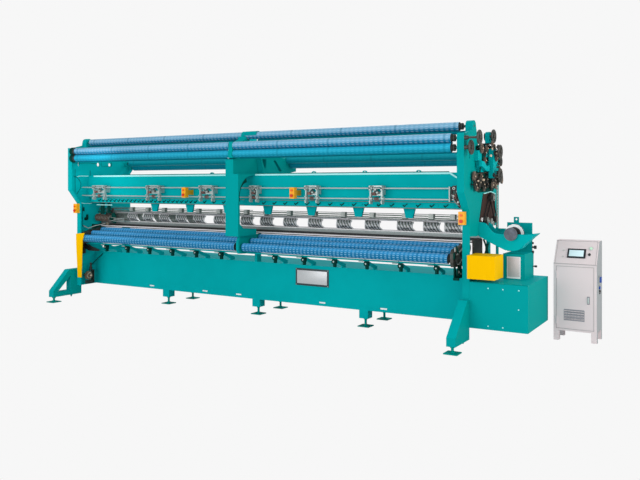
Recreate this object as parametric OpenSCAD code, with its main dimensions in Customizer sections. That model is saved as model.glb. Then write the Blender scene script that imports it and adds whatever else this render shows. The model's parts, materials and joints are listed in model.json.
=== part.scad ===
// Warp knitting machine of the single-bed net type, with its control cabinet.
// Frame: +X along the needle line, +Y to the rear, +Z up.
// The origin is the middle of the sole of the middle front foot.

/* [Frame] */
// Length of the machine over its two end frames
frame_span = 6213; // [5200:1:7200]
// Distance of the middle foot from the left end
mid_at = 3122; // [2600:1:3600]
// Width of the front flange of an end frame
frame_w = 80; // [60:2:90]
// Thickness of the web of an end frame
frame_t = 24; // [16:1:30]
// Height of the underside of the base and end frames
base_z = 206; // [180:2:260]
// Height of the base bed
base_h = 506; // [460:2:560]
// Depth of the base bed
base_d = 650; // [600:5:680]
// Wall of the welded base and beam
wall = 14; // [10:1:20]
// Height of the underside of the main beam
beam_z = 1552; // [1545:1:1562]
// Height of the main beam
beam_h = 333; // [300:1:345]
// Depth of the main beam
beam_d = 320; // [280:5:360]
// Width of the foot of the middle C frame
mid_w = 204; // [180:2:240]

/* [Feet] */
// Side of a square foot pad
pad_w = 150; // [120:2:170]
// Thickness of a foot pad
pad_t = 12; // [10:1:18]
// Diameter of a levelling stud
stud_d = 30; // [24:1:36]
// Distance between neighbouring feet of a row
foot_pitch = 1627; // [1400:1:1700]
// Side of a box leg under the base
leg_w = 120; // [100:2:135]

/* [Rollers] */
// Diameter of a feed roller
feed_d = 100; // [80:1:100]
// Diameter of a take-up roller
takeup_d = 110; // [90:1:116]
// Diameter of a roller journal
journal_d = 30; // [24:1:34]
// Diameter of a handwheel
wheel_d = 158; // [130:1:164]
// Radial running clearance of a shaft in its bearing
run = 0.05; // [0.02:0.01:0.09]

/* [Needle zone] */
// Number of arms in a group
arm_count = 6; // [4:1:6]
// Thickness of one guide arm
arm_t = 9; // [6:0.5:11]
// Height of the needle bar
needle_h = 46; // [36:1:50]
// Diameter of the two guide rods before the beam
rod_d = 16; // [12:1:20]

/* [Drive] */
// Length of the drive box beside the right end frame
drive_l = 624; // [560:1:640]
// Radius of the pattern drum
drum_r = 70; // [60:1:76]
// Radius of the main shaft pulley
pulley_r = 46; // [38:1:52]

/* [Cabinet] */
// Width of the control cabinet
cab_w = 462; // [420:1:500]
// Depth of the control cabinet
cab_d = 333; // [300:1:360]
// Height of the control cabinet
cab_h = 1113; // [1060:1:1200]
// Sheet thickness of the cabinet
sheet = 3; // [2:0.5:4]

/* [Hidden] */
$fn = 48;
gap = 0.3; // clearance between pieces that move past each other
left_out = -mid_at;
left_in = left_out + frame_t;
right_out = frame_span - mid_at;
right_in = right_out - frame_t;
left_flange = left_out + frame_w;
right_flange = right_out - frame_w;
flange_d = 16; // depth of a front flange
base_front = -leg_w / 2;
base_top = base_z + base_h;
base_rear = base_front + base_d;
stud_r = stud_d / 2;
nut_h = 18;
bracket_t = 100; // width of a front leg bracket
bracket_z = 79; // height of its underside
front_foot_y = -795;
column_front = -411;
head_front = -584;
head_top = 2300;
mid_x = [-mid_w / 2, 21, mid_w / 2]; // left face, right face of the head, right face of the foot
arm_rear = 706;
frame_rear = 660;
chamfer_z = 1458; // height at which the head starts to lean forward
window_top = 1072; // of the left frame
mullion = [250, 335]; // post between the windows of the right frame

// Feed rollers: place of each axis [y, z]
feed_axes = [[-250, 2394], [-566, 2247], [-566, 2144], [560, 2094], [650, 2028.6]];
takeup_axes = [[-394, 933], [-210, 989], [-26, 1029]];
journal_r = journal_d / 2;
wheel_r = wheel_d / 2;
feed_left = 50; // distance between a roller's end and the left flange
feed_right = [86, 63, 63, 63, 63]; // the same at the right flange
feed_neck = [[-66, -8], [-38, 32], [-38, 32], [-mid_w / 2 - 4, mid_w / 2 + 4], [-mid_w / 2 - 4, mid_w / 2 + 4]];
takeup_left = 57;
takeup_right = 161;
wheel_axes = [[100, 2296], feed_axes[1], feed_axes[2], [157, 2124], [157, 1852]];
wheel_x = [right_out + 109, right_out + 163, right_out + 73, right_out + 166, right_out + 166];
pod_x = right_out + 22; // inner face of the outboard bearings
pod_d = 50;
chain_x = [right_out + 5, right_out + 27]; // planes of the two feed chains
idler_axis = [-200, 1772];
idler_r = 92;
small_sprocket = 34;
large_sprocket = 52;

// Main beam and the rods before it
beam_front = -219;
beam_top = beam_z + beam_h;
lower_front = -176;
lower_h = 84;
rod_axes = [[-332, 1706], [-332, 1582]];
hanger_x = [for (i = [0:20]) let (x = left_in + 1215 + i * 684) if (x < right_in - 700) x];
rod_r = rod_d / 2;
eye_x = [-659, 988, 1708, right_in - 660];
clamp_x = [for (x = [[-2830, -2600], [-1720, -1490], [-731, -516], [120, 222], [972, 1131], [1865, 2017]])
    if (x[0] > left_in + 100 && x[1] < right_in - 200) x];
unit_x = right_in - 216; // unit that ends the two rods on the drive side

// Needle zone
swing_axis = [60, 1318];
swing_r = 11;
arm_centre = [75, 1247];
arm_r = 57;
arm_step = 20;
group_x = [for (x = [-2390, -2060, -1730, -1400, -1070, -690, -215, 115, 494, 881, 1306, 1710, 2146, 2485, 2750])
    if (x > left_in + 140 && x < right_in - 140) x];
rail_y = 0;
rail_z = 1362;
rail_h = 30;
needle_y = 42;
needle_z = 1132;
needle_d = 34;
strip_z = 1096;

// Drive
drive_front = column_front + 2;
drive_d = 880;
drive_top = 706;
main_axis = [238, 1600];
jack_axis = [40, 1350];
side_axis = [392, 1346];
jack_r = 37;
worm_axis = [-292, 355];
drum_axis = [right_out + 369, 1210]; // [x, z]
tray_front = -105;
tray_d = 170;
upright_y = 330; // front of the upright plate behind the pattern drum

// Push-button stations: middle of the back of each box
station_w = 68;
station_h = 141;
station_d = 62;
station_y = rod_axes[0][0] - rod_r - gap;
stations = [[left_out + 24, column_front, 1386], [-980, station_y, 1640],
            [800, station_y, 1644], [right_out - 70, column_front, 1386]];
button_travel = 6;

// Cabinet
cab_x = right_out + 693;
cab_y = 437;
cab_leg = 112;
cab_sill = 861; // height at which the sloping panel starts
cab_top_y = 175; // distance the sloping panel leans back
selector_at = [372, 128]; // place on the panel: across, up the slope
panel_button_at = [[92, 170], [92, 90]];
door_gap = 0.8;
door_d = 20;
door_x0 = cab_x + 36;
door_x1 = cab_x + cab_w - 36;
door_z0 = cab_leg + 28;
door_z1 = cab_sill - 32;
lock = [door_x1 - 52, 492];
hinge = [door_x0 - door_gap / 2, cab_y - 5];
hinge_z = [door_z0 + 90, door_z1 - 90];
panel_lean = atan2(cab_top_y, cab_h - cab_sill);

// ---------- general shapes ----------

// Block between two corners
module block(low, high) {
    translate(low) cube(high - low);
}

// Round bar along X from x0 to x1 on the axis [y, z]
module rod_x(x0, x1, axis, r) {
    translate([x0, axis[0], axis[1]]) rotate([0, 90, 0]) cylinder(r = r, h = x1 - x0);
}

// Plate of thickness t from x, with its outline in [y, z]
module plate_x(x, t) {
    translate([x, 0, 0]) rotate([90, 0, 90]) linear_extrude(t) children();
}

// Round bar along Y from y0 to y1
module rod_y(x, y0, y1, z, r) {
    translate([x, y1, z]) rotate([90, 0, 0]) cylinder(r = r, h = y1 - y0);
}

// Plate of thickness t from y, with its outline in [x, z]
module plate_y(y, t) {
    translate([0, y + t, 0]) rotate([90, 0, 0]) linear_extrude(t) children();
}

function polar(c, r, a) = [c[0] + r * cos(a), c[1] + r * sin(a)];

// Arc as points, both ends included
function arc(c, r, a0, a1, n = 12) = [for (i = [0:n]) polar(c, r, a0 + (a1 - a0) * i / n)];

// Outline of a tight belt round two wheels
function belt(a, ra, b, rb, n = 24) =
    let (phi = atan2(b[1] - a[1], b[0] - a[0]), beta = acos((ra - rb) / norm(b - a)))
    concat(arc(a, ra, phi + beta, phi + 360 - beta, n), arc(b, rb, phi - beta, phi + beta, n));

// Flat loop: the area between the belt outlines at two offsets
module belt_2d(a, ra, b, rb, t) {
    difference() {
        polygon(belt(a, ra + t, b, rb + t));
        polygon(belt(a, ra, b, rb));
    }
}

// Outline of a toothed disc
function teeth(r, depth, n) = [for (i = [0:n - 1]) each [
    polar([0, 0], r - depth, 360 / n * (i - 0.3)),
    polar([0, 0], r, 360 / n * (i - 0.14)),
    polar([0, 0], r, 360 / n * (i + 0.14)),
    polar([0, 0], r - depth, 360 / n * (i + 0.3))
]];

// Toothed disc along X from x
module toothed_x(x, t, axis, r, depth, n) {
    translate([x, axis[0], axis[1]]) rotate([90, 0, 90]) linear_extrude(t) polygon(teeth(r, depth, n));
}

// Hexagon head facing -Y
module bolt_front(x, y, z, r = 12, h = 8) {
    translate([x, y, z]) rotate([90, 0, 0]) cylinder(r = r, h = h, $fn = 6);
}

// ---------- carcass ----------

base_bays = 6;
function rib_x(i) = left_in + i * (right_in - left_in) / base_bays;
slot_x = [-1909, -889, -294, 1038, 1900];
foot_x = [for (i = [-1:1]) i * foot_pitch];
foot_y = [0, base_d - leg_w];
bracket_x = [left_out - bracket_t, right_out - bracket_t];

module base_bed() color("darkturquoise") {
    difference() {
        block([left_in, base_front, base_z], [right_in, base_rear, base_top]);
        // hollow bays between the ribs, closed by the end frames
        for (i = [0:base_bays - 1])
            block([rib_x(i) + (i == 0 ? -1 : wall / 2), base_front + wall, base_z + wall],
                  [rib_x(i + 1) + (i == base_bays - 1 ? 1 : -wall / 2), base_rear - wall, base_top - wall]);
        for (i = [1:base_bays - 1])
            rod_x(rib_x(i) - wall, rib_x(i) + wall, [(base_front + base_rear) / 2, (base_z + base_top) / 2], 150);
        // shallow slots along the lower front edge
        for (x = slot_x)
            block([x - 50, base_front - 1, base_z + 30], [x + 50, base_front + 6, base_z + 52]);
    }
    // bolted covers on the rear wall
    for (i = [0:base_bays - 1])
        block([rib_x(i) + 120, base_rear - 1, base_z + 80], [rib_x(i + 1) - 120, base_rear + 6, base_top - 80]);
    for (x = foot_x, y = foot_y) box_leg(x, y);
}

// Box leg with a hole for its stud
module box_leg(x, y) {
    translate([x, y, 0]) difference() {
        block([-leg_w / 2, -leg_w / 2, 105], [leg_w / 2, leg_w / 2, base_z]);
        block([-leg_w / 2 + 12, -leg_w / 2 + 12, 120], [leg_w / 2 - 12, leg_w / 2 - 12, base_z + 1]);
        translate([0, 0, 104]) cylinder(r = stud_r + 1, h = 20);
    }
    translate([x, y, 0]) for (s = [-1, 1])
        block([s > 0 ? leg_w / 2 - 12 : -leg_w / 2, -leg_w / 2, base_z - 1],
              [s > 0 ? leg_w / 2 : -leg_w / 2 + 12, leg_w / 2, base_z + wall]);
}

module front_legs() color("darkturquoise") {
    for (i = [0, 1]) difference() {
        plate_x(bracket_x[i], bracket_t) difference() {
            polygon([[-845, bracket_z], [-845, 170], [i == 0 ? -560 : -478, i == 0 ? 462 : 507],
                     [i == 0 ? -330 : column_front, i == 0 ? 462 : 507],
                     [i == 0 ? -330 : column_front, bracket_z]]);
            if (i == 0) polygon([[-765, 152], [-530, 372], [-530, 152]]);
        }
        translate([bracket_x[i] + bracket_t / 2, front_foot_y, bracket_z - 1])
            cylinder(r = stud_r + 1, h = 92);
    }
    // set screws under the heel of each bracket
    for (x = bracket_x) translate([x + bracket_t / 2, -480, bracket_z - 36]) {
        cylinder(r = 10, h = 36);
        translate([0, 0, 20]) cylinder(r = 17, h = 10, $fn = 6);
    }
}

module levelling_feet() color("teal") {
    for (x = foot_x, y = foot_y) foot(x, y, 105);
    for (x = bracket_x) foot(x + bracket_t / 2, front_foot_y, bracket_z);
}

// Pad with a socket, a stud and a nut that holds up the leg at z
module foot(x, y, z) {
    translate([x, y, 0]) {
        block([-pad_w / 2, -pad_w / 2, 0], [pad_w / 2, pad_w / 2, pad_t]);
        cylinder(r = stud_r * 1.7, h = pad_t + 14);
        cylinder(r = stud_r, h = z + 11);
        translate([0, 0, z - nut_h]) cylinder(r = stud_r * 1.7, h = nut_h, $fn = 6);
    }
}

// Outline of an end frame in [y, z]
module end_outline(side) {
    difference() {
        polygon(concat([
            [column_front, base_z], [column_front, chamfer_z], [head_front, 1668], [head_front, head_top],
            [-520, head_top], [-320, 2350], [-312, 2394]],
            arc(feed_axes[0], 62, 180, 0, 10),
            [[-150, head_top], [-110, 2160], [-60, 2130], [feed_axes[3][0] - 60, feed_axes[3][1] + 48],
             [feed_axes[3][0] + 36, feed_axes[3][1] + 48], [arm_rear, feed_axes[4][1] + 30],
             [arm_rear, feed_axes[4][1] - 46], [frame_rear, 1930], [frame_rear, base_z]]));
        // window behind the take-up rollers, wider on the drive side
        if (side < 0) polygon([[70, base_top + 40], [70, window_top], [500, window_top], [500, base_top + 40]]);
        else {
            polygon([[column_front + flange_d + 4, base_top + 34], [column_front + flange_d + 4, 1187],
                     [-150, 1177], [60, 1200], [mullion[0], 1262], [mullion[0], base_top + 34]]);
            polygon([[mullion[1], base_top + 34], [mullion[1], 1265], [frame_rear - 40, 1265],
                     [frame_rear - 40, base_top + 34]]);
        }
        // lightening holes in the arm
        translate([-17, 2065]) circle(r = 31);
        translate([217, 2065]) circle(r = 31);
        polygon([[-412, 2030], [-412, 2100], [-388, 2100], [-388, 2030]]);
    }
}

// Flange along the front edge and the bearing bosses, as wide as the frame
module end_flange() {
    polygon([[column_front, base_z], [column_front, chamfer_z], [head_front, 1668], [head_front, head_top - 1],
             [head_front + flange_d, head_top - 1], [head_front + flange_d, 1674],
             [column_front + flange_d, chamfer_z + 6], [column_front + flange_d, base_z]]);
    polygon(concat([[-312, head_top - 20], [-312, feed_axes[0][1]]], arc(feed_axes[0], 62, 180, 0, 10),
                   [[-188, head_top - 20]]));
    for (n = [3, 4]) translate(feed_axes[n]) circle(r = 40);
    for (n = [1, 2]) translate([head_front + flange_d, feed_axes[n][1] - 34]) square([56, 68]);
}

module end_frame(side) {
    x = side < 0 ? left_out : right_in;
    difference() {
        union() {
            plate_x(x, frame_t) end_outline(side);
            plate_x(side < 0 ? left_out : right_flange, frame_w) end_flange();
        }
        for (a = feed_axes) rod_x(x - frame_w, x + frame_w + frame_t, a, journal_r + run);
        if (side > 0) for (a = [main_axis, jack_axis, side_axis]) rod_x(x - 1, x + frame_t + 1, a, 14 + run);
        rod_x(side > 0 ? x - 1 : x + 6, side > 0 ? x + frame_t - 6 : x + frame_t + 1, swing_axis, swing_r + run);
        if (side < 0) rod_x(x + 4, x + frame_t + 1, worm_axis, 14 + run);
    }
}

module end_frame_left() color("darkturquoise") {
    end_frame(-1);
}

module end_frame_right() color("darkturquoise") {
    end_frame(1);
}

// C frame round the beam: a narrow head over a wide foot, and a ribbed arm to the rear
module mid_frame() color("darkturquoise") {
    rear = [[arm_rear, feed_axes[4][1] + 30], [arm_rear + 70, 1990], [arm_rear + 70, 1938], [600, 1912],
            [beam_front + beam_d, beam_top]];
    difference() {
        union() {
            // foot in front of the beam
            plate_x(mid_x[0], mid_x[2] - mid_x[0]) polygon(concat(
                [[beam_front, beam_top], [beam_front, beam_top - 8], [-340, 1862]],
                arc([-290, 1590], 275, 112, 200, 8),
                [[-545, 1240], [-470, 1180], [-190, 1165], [-190, 1098], [-330, 1085], [head_front, 1085],
                 [head_front, beam_top]]));
            // head with the roller bearings
            plate_x(mid_x[0], mid_x[1] - mid_x[0]) polygon(concat(
                [[beam_front, beam_top], [head_front, beam_top - 1], [head_front, 2072], [-508, 2092],
                 [-508, 2262], [-320, 2350]],
                arc(feed_axes[0], 50, 180, 0, 8),
                [[-190, head_top], [-120, 2196], [feed_axes[3][0] - 60, feed_axes[3][1] + 60],
                 [feed_axes[3][0] + 40, feed_axes[3][1] + 48]], rear));
            // nose that holds the two front rollers
            plate_x(-34, 62) polygon([[-620, 2110], [-606, 2296], [-560, 2300], [-500, 2262], [-500, 2090], [-600, 2090]]);
            // top bearing of the highest roller with a shell over its coupling
            plate_x(-62, 50) polygon(arc(feed_axes[0], 58, 0, 350, 20));
            // wide part of the rear arm
            plate_x(mid_x[1] - 1, mid_x[2] - mid_x[1] + 1) polygon(concat(
                [[-20, beam_top], [-85, 2096], [feed_axes[3][0] - 60, 2118], [feed_axes[3][0] - 20, feed_axes[3][1] + 46],
                 [feed_axes[3][0] + 40, feed_axes[3][1] + 46]], rear));
        }
        for (a = feed_axes) rod_x(-200, 200, a, journal_r + run);
        // the head is cut away round the highest roller
        rod_x(mid_x[0] - 1, -62, feed_axes[0], feed_d / 2 + 6);
        rod_x(-12, mid_x[1] + 1, feed_axes[0], feed_d / 2 + 6);
        // pockets between the ribs of the arm
        plate_x(mid_x[2] - 64, 66) {
            polygon([[-62, 2086], [40, 2092], [40, 2000], [10, 1952]]);
            polygon([[206, 2080], [262, 2080], [412, 1934], [352, 1930]]);
        }
    }
    plate_x(-14, 195) polygon(concat(arc(feed_axes[0], feed_d / 2 + 9, 60, 178, 8),
                                     arc(feed_axes[0], feed_d / 2 + 5, 178, 60, 8)));
    // bearing plate of the take-up rollers
    difference() {
        plate_x(-20, 40) polygon([
            [base_front, base_top], [base_front, 830], [-440, 850], [-470, 900], [-470, 1000],
            [-430, 1086], [-190, 1099], [-170, 1084], [35, 1084], [35, base_top]]);
        for (a = takeup_axes) rod_x(-21, 21, a, journal_r + run);
    }
}

module main_beam() color("darkturquoise") {
    // hollow beam with a set-back lower part
    difference() {
        union() {
            block([left_in, beam_front, beam_z], [right_in, beam_front + beam_d, beam_top]);
            block([left_in, lower_front, beam_z - lower_h], [right_in, beam_front + beam_d, beam_z + 1]);
        }
        block([left_in - 1, beam_front + wall, beam_z + wall],
              [right_in + 1, beam_front + beam_d - wall, beam_top - wall]);
        block([left_in - 1, lower_front + wall, beam_z - lower_h + wall],
              [right_in + 1, beam_front + beam_d - wall, beam_z - 1]);
        // sloping corner at the drive end
        plate_y(beam_front - 1, wall) polygon([[right_in - 260, beam_top + 1], [right_in - 150, beam_top - 74],
            [right_in + 1, beam_top - 74], [right_in + 1, beam_top + 1]]);
    }
    // flange bolts
    for (i = [0:floor((right_in - left_in - 320) / 195)]) bolt_front(left_in + 278 + i * 195, lower_front, beam_z - lower_h / 2);
    // hangers of the upper rail
    for (x = hanger_x) plate_y(-30, 30)
        polygon([for (p = [[-75, 0], [75, 0], [45, -117], [-45, -117]])
            [x + p[0], beam_z - lower_h + p[1]]]);
    // lifting eyes on top
    for (x = eye_x) plate_y(beam_front + 30, 20) difference() {
        translate([x, beam_top]) union() {
            circle(r = 34);
            translate([-34, -10]) square([68, 12]);
        }
        translate([x, beam_top + 16]) circle(r = 11);
        translate([x - 50, beam_top - 50]) square([100, 50]);
    }
}

module guide_rods() color("gainsboro") {
    for (a = rod_axes) rod_x(left_in, unit_x + 40, a, rod_r);
}

// Groups of two strips that hold the rods, each with a bracket on the beam
module rod_clamps() color("silver") {
    for (g = clamp_x) {
        difference() {
            union() {
                for (x = g) {
                    plate_x(x - 7, 14) polygon([[-363, 1524], [-363, 1552], [-350, 1580], [-350, 1710],
                        [-363, 1738], [-301, 1738], [-301, 1710], [-312, 1690], [-312, 1590],
                        [-301, 1570], [-301, 1518]]);
                    for (a = rod_axes) rod_x(x - 15, x + 15, a, rod_r + 10);
                }
                // bracket between the strips
                block([g[0], -322, 1722], [g[1], -300, 1738]);
                block([g[0], -318, 1618], [g[1], -306, 1660]);
                for (x = [g[0] + 24, g[1] - 24]) block([x - 8, -308, 1630], [x + 8, beam_front, 1732]);
            }
            for (a = rod_axes) for (x = g) rod_x(x - 16, x + 16, a, rod_r + run);
        }
    }
}

// ---------- needle zone ----------

module upper_rail() color("dimgray") {
    for (z = [rail_z - 18, rail_z + 8]) block([left_in, rail_y, z], [right_in, rail_y + 24, z + 14]);
    for (x = group_x) block([x - 32, rail_y + 2, rail_z - 22], [x + 34, rail_y + 44, rail_z + 42]);
    for (x = concat(left_in + 60, hanger_x, right_in - 60))
        block([x - 20, rail_y + 4, rail_z - 18], [x + 20, rail_y + 30, rail_z + 22]);
    // unit that ends the guide rods, hung from the beam
    difference() {
        plate_y(-352, 30) polygon([for (p = [[14, -20], [68, 31], [86, -3], [82, -72], [123, -150],
            [104, -184], [68, -160], [40, -125], [14, -72]]) [unit_x + p[0], 1712 + p[1]]]);
        for (a = rod_axes) rod_x(unit_x - 1, unit_x + 140, a, rod_r + run);
    }
    plate_x(unit_x, 10) difference() {
        polygon([[-358, 1560], [-358, 1726], [-300, 1726], [-300, 1560]]);
        for (a = rod_axes) translate(a) circle(r = rod_r + run);
    }
    block([unit_x + 30, -323, 1640], [unit_x + 60, beam_front, 1730]);
    // cam stack at the left end of the needle line
    for (i = [0:5]) rod_x(left_in + 24 + i * 46, left_in + 48 + i * 46, [-60, 1236], i % 2 == 0 ? 46 : 38);
    rod_x(left_in, left_in + 300, [-60, 1236], 14);
    plate_x(left_in + 290, 16) polygon([[-90, 1196], [-90, 1290], [4, 1376], [24, 1376], [24, 1345], [-30, 1280], [-30, 1196]]);
}

module trick_plate() color("black") {
    block([left_in, 10, strip_z], [right_in, needle_y - gap, strip_z + 44]);
    block([left_in, 10, strip_z - 10], [right_in, 110, strip_z + 1]);
}

module cloth_bar() color("whitesmoke") {
    rod_x(left_in, right_in, [-6, 1106], 9);
}

module needle_bar() color("gray") {
    block([left_in + gap, needle_y, needle_z], [right_in - gap, needle_y + needle_d, needle_z + needle_h]);
}

module guide_arms() color("lightslategray") {
    rod_x(left_in - frame_t + 6 + gap, right_in + frame_t - 6 - gap, swing_axis, swing_r);
    // guide bar at the foot of the arms
    block([left_in + 12, 56, 1184], [right_in - 12, 74, 1198]);
    for (x = group_x) {
        rod_x(x - arm_step * arm_count / 2, x + arm_step * arm_count / 2, swing_axis, 19);
        for (k = [0:arm_count - 1])
            translate([x + (k - (arm_count - 1) / 2) * arm_step, 0, 0]) guide_arm();
    }
}

// One curved arm, from the swing shaft down to the guide bar
module guide_arm() {
    plate_x(-arm_t / 2, arm_t) polygon(concat(
        arc(arm_centre, arm_r, 92, 262, 12), arc(arm_centre, arm_r - 24, 262, 92, 12)));
}

// ---------- rollers ----------

// Roller with a sleeve from x0 to x1, parted at the neck, hubs and a journal from left to right
module roller(axis, r, x0, x1, neck, left, right) {
    rod_x(x0, neck[0], axis, r);
    rod_x(neck[1], x1, axis, r);
    rod_x(left, right, axis, journal_r);
    rod_x(x0 - 12, x0 + 1, axis, r * 0.72);
    rod_x(x1 - 1, x1 + 12, axis, r * 0.72);
}

module feed_roller(n) color("steelblue") {
    a = feed_axes[n - 1];
    roller(a, feed_d / 2, left_flange + feed_left, right_flange - feed_right[n - 1],
           feed_neck[n - 1],
           left_out, n == 1 ? right_out : n < 4 ? right_out + 16 : chain_x[n - 4] + 8 + 6);
    if (n < 4) rod_x(right_flange - feed_right[n - 1] + 22, right_flange - feed_right[n - 1] + 40, a, 38);
    if (n > 3) toothed_x(chain_x[n - 4], 8, a, large_sprocket, 6, 26);
}

module feed_roller_1() feed_roller(1);
module feed_roller_2() feed_roller(2);
module feed_roller_3() feed_roller(3);
module feed_roller_4() feed_roller(4);
module feed_roller_5() feed_roller(5);

// Handwheel: rim, dished web with holes and hub, turned about X
module handwheel_disc(axis, x, bore) {
    translate([x, axis[0], axis[1]]) rotate([0, 90, 0]) difference() {
        rotate_extrude() polygon([[bore, -14], [24, -14], [24, -5], [wheel_r - 14, 3], [wheel_r - 12, -7],
            [wheel_r - 4, -9], [wheel_r, -3], [wheel_r, 5], [wheel_r - 5, 10], [wheel_r - 12, 8],
            [wheel_r - 15, 9], [24, 5], [24, 14], [bore, 14]]);
        for (i = [0:4]) rotate([0, 0, i * 72]) translate([44, 0, -20]) cylinder(r = 13, h = 40);
    }
}

// Handwheel on its own shaft, which runs in an outboard bearing
module handwheel_shaft(n, x0) {
    handwheel_disc(wheel_axes[n - 1], wheel_x[n - 1], 11.9);
    rod_x(x0, wheel_x[n - 1] + 14, wheel_axes[n - 1], 12);
}

module handwheel_1() color("dimgray") {
    handwheel_shaft(1, chain_x[0] - 2);
    toothed_x(chain_x[0], 8, wheel_axes[0], small_sprocket, 6, 17);
}

// Handwheel with a socket over the end of the roller's journal
module handwheel_stub(n) color("dimgray") {
    handwheel_disc(wheel_axes[n - 1], wheel_x[n - 1], 11.9);
    difference() {
        rod_x(right_out + gap, wheel_x[n - 1] + 14, wheel_axes[n - 1], 12);
        rod_x(right_out - 1, right_out + 40, wheel_axes[n - 1], 20);
    }
    difference() {
        rod_x(right_out + gap, right_out + 41, wheel_axes[n - 1], 22);
        rod_x(right_out - 1, right_out + 17, wheel_axes[n - 1], journal_r + run);
    }
}

module handwheel_2() handwheel_stub(2);
module handwheel_3() handwheel_stub(3);

module handwheel_4() color("dimgray") {
    handwheel_shaft(4, chain_x[1] - 2);
    toothed_x(chain_x[1], 8, wheel_axes[3], small_sprocket, 6, 17);
}

module handwheel_5() color("dimgray") {
    handwheel_shaft(5, chain_x[0] - 2);
    toothed_x(chain_x[0], 8, wheel_axes[4], small_sprocket, 6, 17);
}

module takeup_roller(n) color("royalblue") {
    x1 = right_flange - takeup_right;
    roller(takeup_axes[n - 1], takeup_d / 2, left_flange + takeup_left, x1, [-76, 47],
           left_flange + 3, x1 + 118);
    toothed_x(x1 + 94, 18, takeup_axes[n - 1], 48, 5, 30);
}

module takeup_roller_1() takeup_roller(1);
module takeup_roller_2() takeup_roller(2);
module takeup_roller_3() takeup_roller(3);

// Plates that carry the take-up rollers at their ends
module bearing_blocks() color("darkslategray") {
    difference() {
        union() {
            plate_x(left_flange + gap, 36) bearing_outline();
            plate_x(left_in, left_flange - left_in + 1) intersection() {
                bearing_outline();
                translate([column_front + flange_d + 1, 800]) square([600, 400]);
            }
        }
        for (a = takeup_axes) rod_x(left_in - 1, left_flange + 43, a, journal_r + run);
    }
    difference() {
        plate_x(right_flange - takeup_right + 42, 36) polygon([
            [base_front, base_top], [base_front, 830], [-440, 850], [-470, 900], [-470, 1000],
            [-430, 1040], [-90, 1086], [35, 1084], [35, base_top]]);
        for (a = takeup_axes)
            rod_x(right_flange - takeup_right + 41, right_flange - takeup_right + 79, a, journal_r + run);
    }
}

module bearing_outline() {
    polygon([[-450, 884], [-450, 965], [-420, 1000], [-90, 1080], [30, 1080], [42, 1050],
             [42, 960], [-60, 900], [-330, 850], [-440, 850]]);
}

// Brackets on the base that carry the bar below the take-up rollers
module roller_supports() color("darkcyan") {
    for (s = [-1, 1]) rod_x(s < 0 ? left_flange + 36 + gap : 20, s < 0 ? -20 : right_flange - takeup_right + 42, [-296, 852], 10);
    for (i = [-8:8]) if (i != 0 && i * 440 > left_in + 200 && i * 440 < right_in - 250) plate_x(i * 440 - 6, 12)
        polygon([[base_front, base_top], [base_front, base_top + 20], [-320, 848], [-320, 862],
                 [-278, 862], [40, base_top + 34], [40, base_top]]);
}

// ---------- guards and drive ----------

module strip_guard() color("gold") {
    plate_y(-466, 10) polygon([[left_out + 39, 1002], [left_flange + 142, 1018],
        [left_flange + 102, 911], [left_flange + 76, 342], [left_flange - 3, 342], [left_out + 44, 829]]);
    // spacers on the column
    for (z = [620, 790]) rod_y(left_flange - 20, -457, column_front, z, 10);
}

module box_guard() color("gold") {
    translate([right_out, -490, 744]) difference() {
        cube([300, 307, 250]);
        translate([-1, 3, -1]) cube([298, 301, 248]);
    }
}

module belt_guard() color("saddlebrown") {
    // plate behind the belts with a folded edge before them
    difference() {
        plate_x(right_out, 8) polygon([[-91, 1330], [52, 1650], [300, 1668], [487, 1640], [487, 1276], [188, 1272]]);
        for (a = [main_axis, jack_axis, side_axis]) rod_x(right_out - 1, right_out + 9, a, 14 + 2);
    }
    // closed panel in the window
    block([right_in, -249, base_top + 34], [right_in + 8, 77, 1137]);
}

module drive_box() color("darkturquoise") {
    difference() {
        block([right_out, drive_front, base_z], [right_out + drive_l, drive_front + drive_d, drive_top]);
        block([right_out - 1, drive_front + 4, base_z + 4],
              [right_out + drive_l - 4, drive_front + drive_d - 4, drive_top - 4]);
    }
}

module drum_housing() color("darkturquoise") {
    block([right_out + 246, 0, drive_top], [right_out + 485, 380, 985]);
    difference() {
        union() {
            block([right_out + 197, upright_y, 984], [right_out + 480, upright_y + 20, 1315]);
            // tie bar from the frame, below and behind the pattern chain
            block([right_out, upright_y - 16, 1176], [right_out + 198, upright_y + 1, 1242]);
        }
        translate([drum_axis[0], upright_y + 21, drum_axis[1]]) rotate([90, 0, 0])
            cylinder(r = journal_r + run, h = 22);
    }
    difference() {
        block([right_out + 272, upright_y + 4, 1314], [right_out + 330, upright_y + 16, 1378]);
        translate([right_out + 301, upright_y + 20, 1351]) rotate([90, 0, 0]) cylinder(r = 12, h = 20);
    }
}

// Upper and lower edge of the chain tray, in [x from the frame, z]
tray_top = [[0, 1332], [59, 1327], [82, 1318], [101, 1302], [133, 1258], [160, 1230], [194, 1213],
            [260, 1207], [560, 1211], [636, 1221]];
tray_bottom = concat([[636, 1221], [627, 1210], [585, 1175], [520, 1108], [479, 1071]],
                     arc([380, 1180], 152, 308, 265, 4), [[297, 1032], [180, 1085], [85, 1131], [0, 1177]]);
function tray_line(line) = [for (p = line) p + [right_out, 0]];
tray_notch = [right_out + 64, 1290]; // clear of the belts behind it

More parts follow.
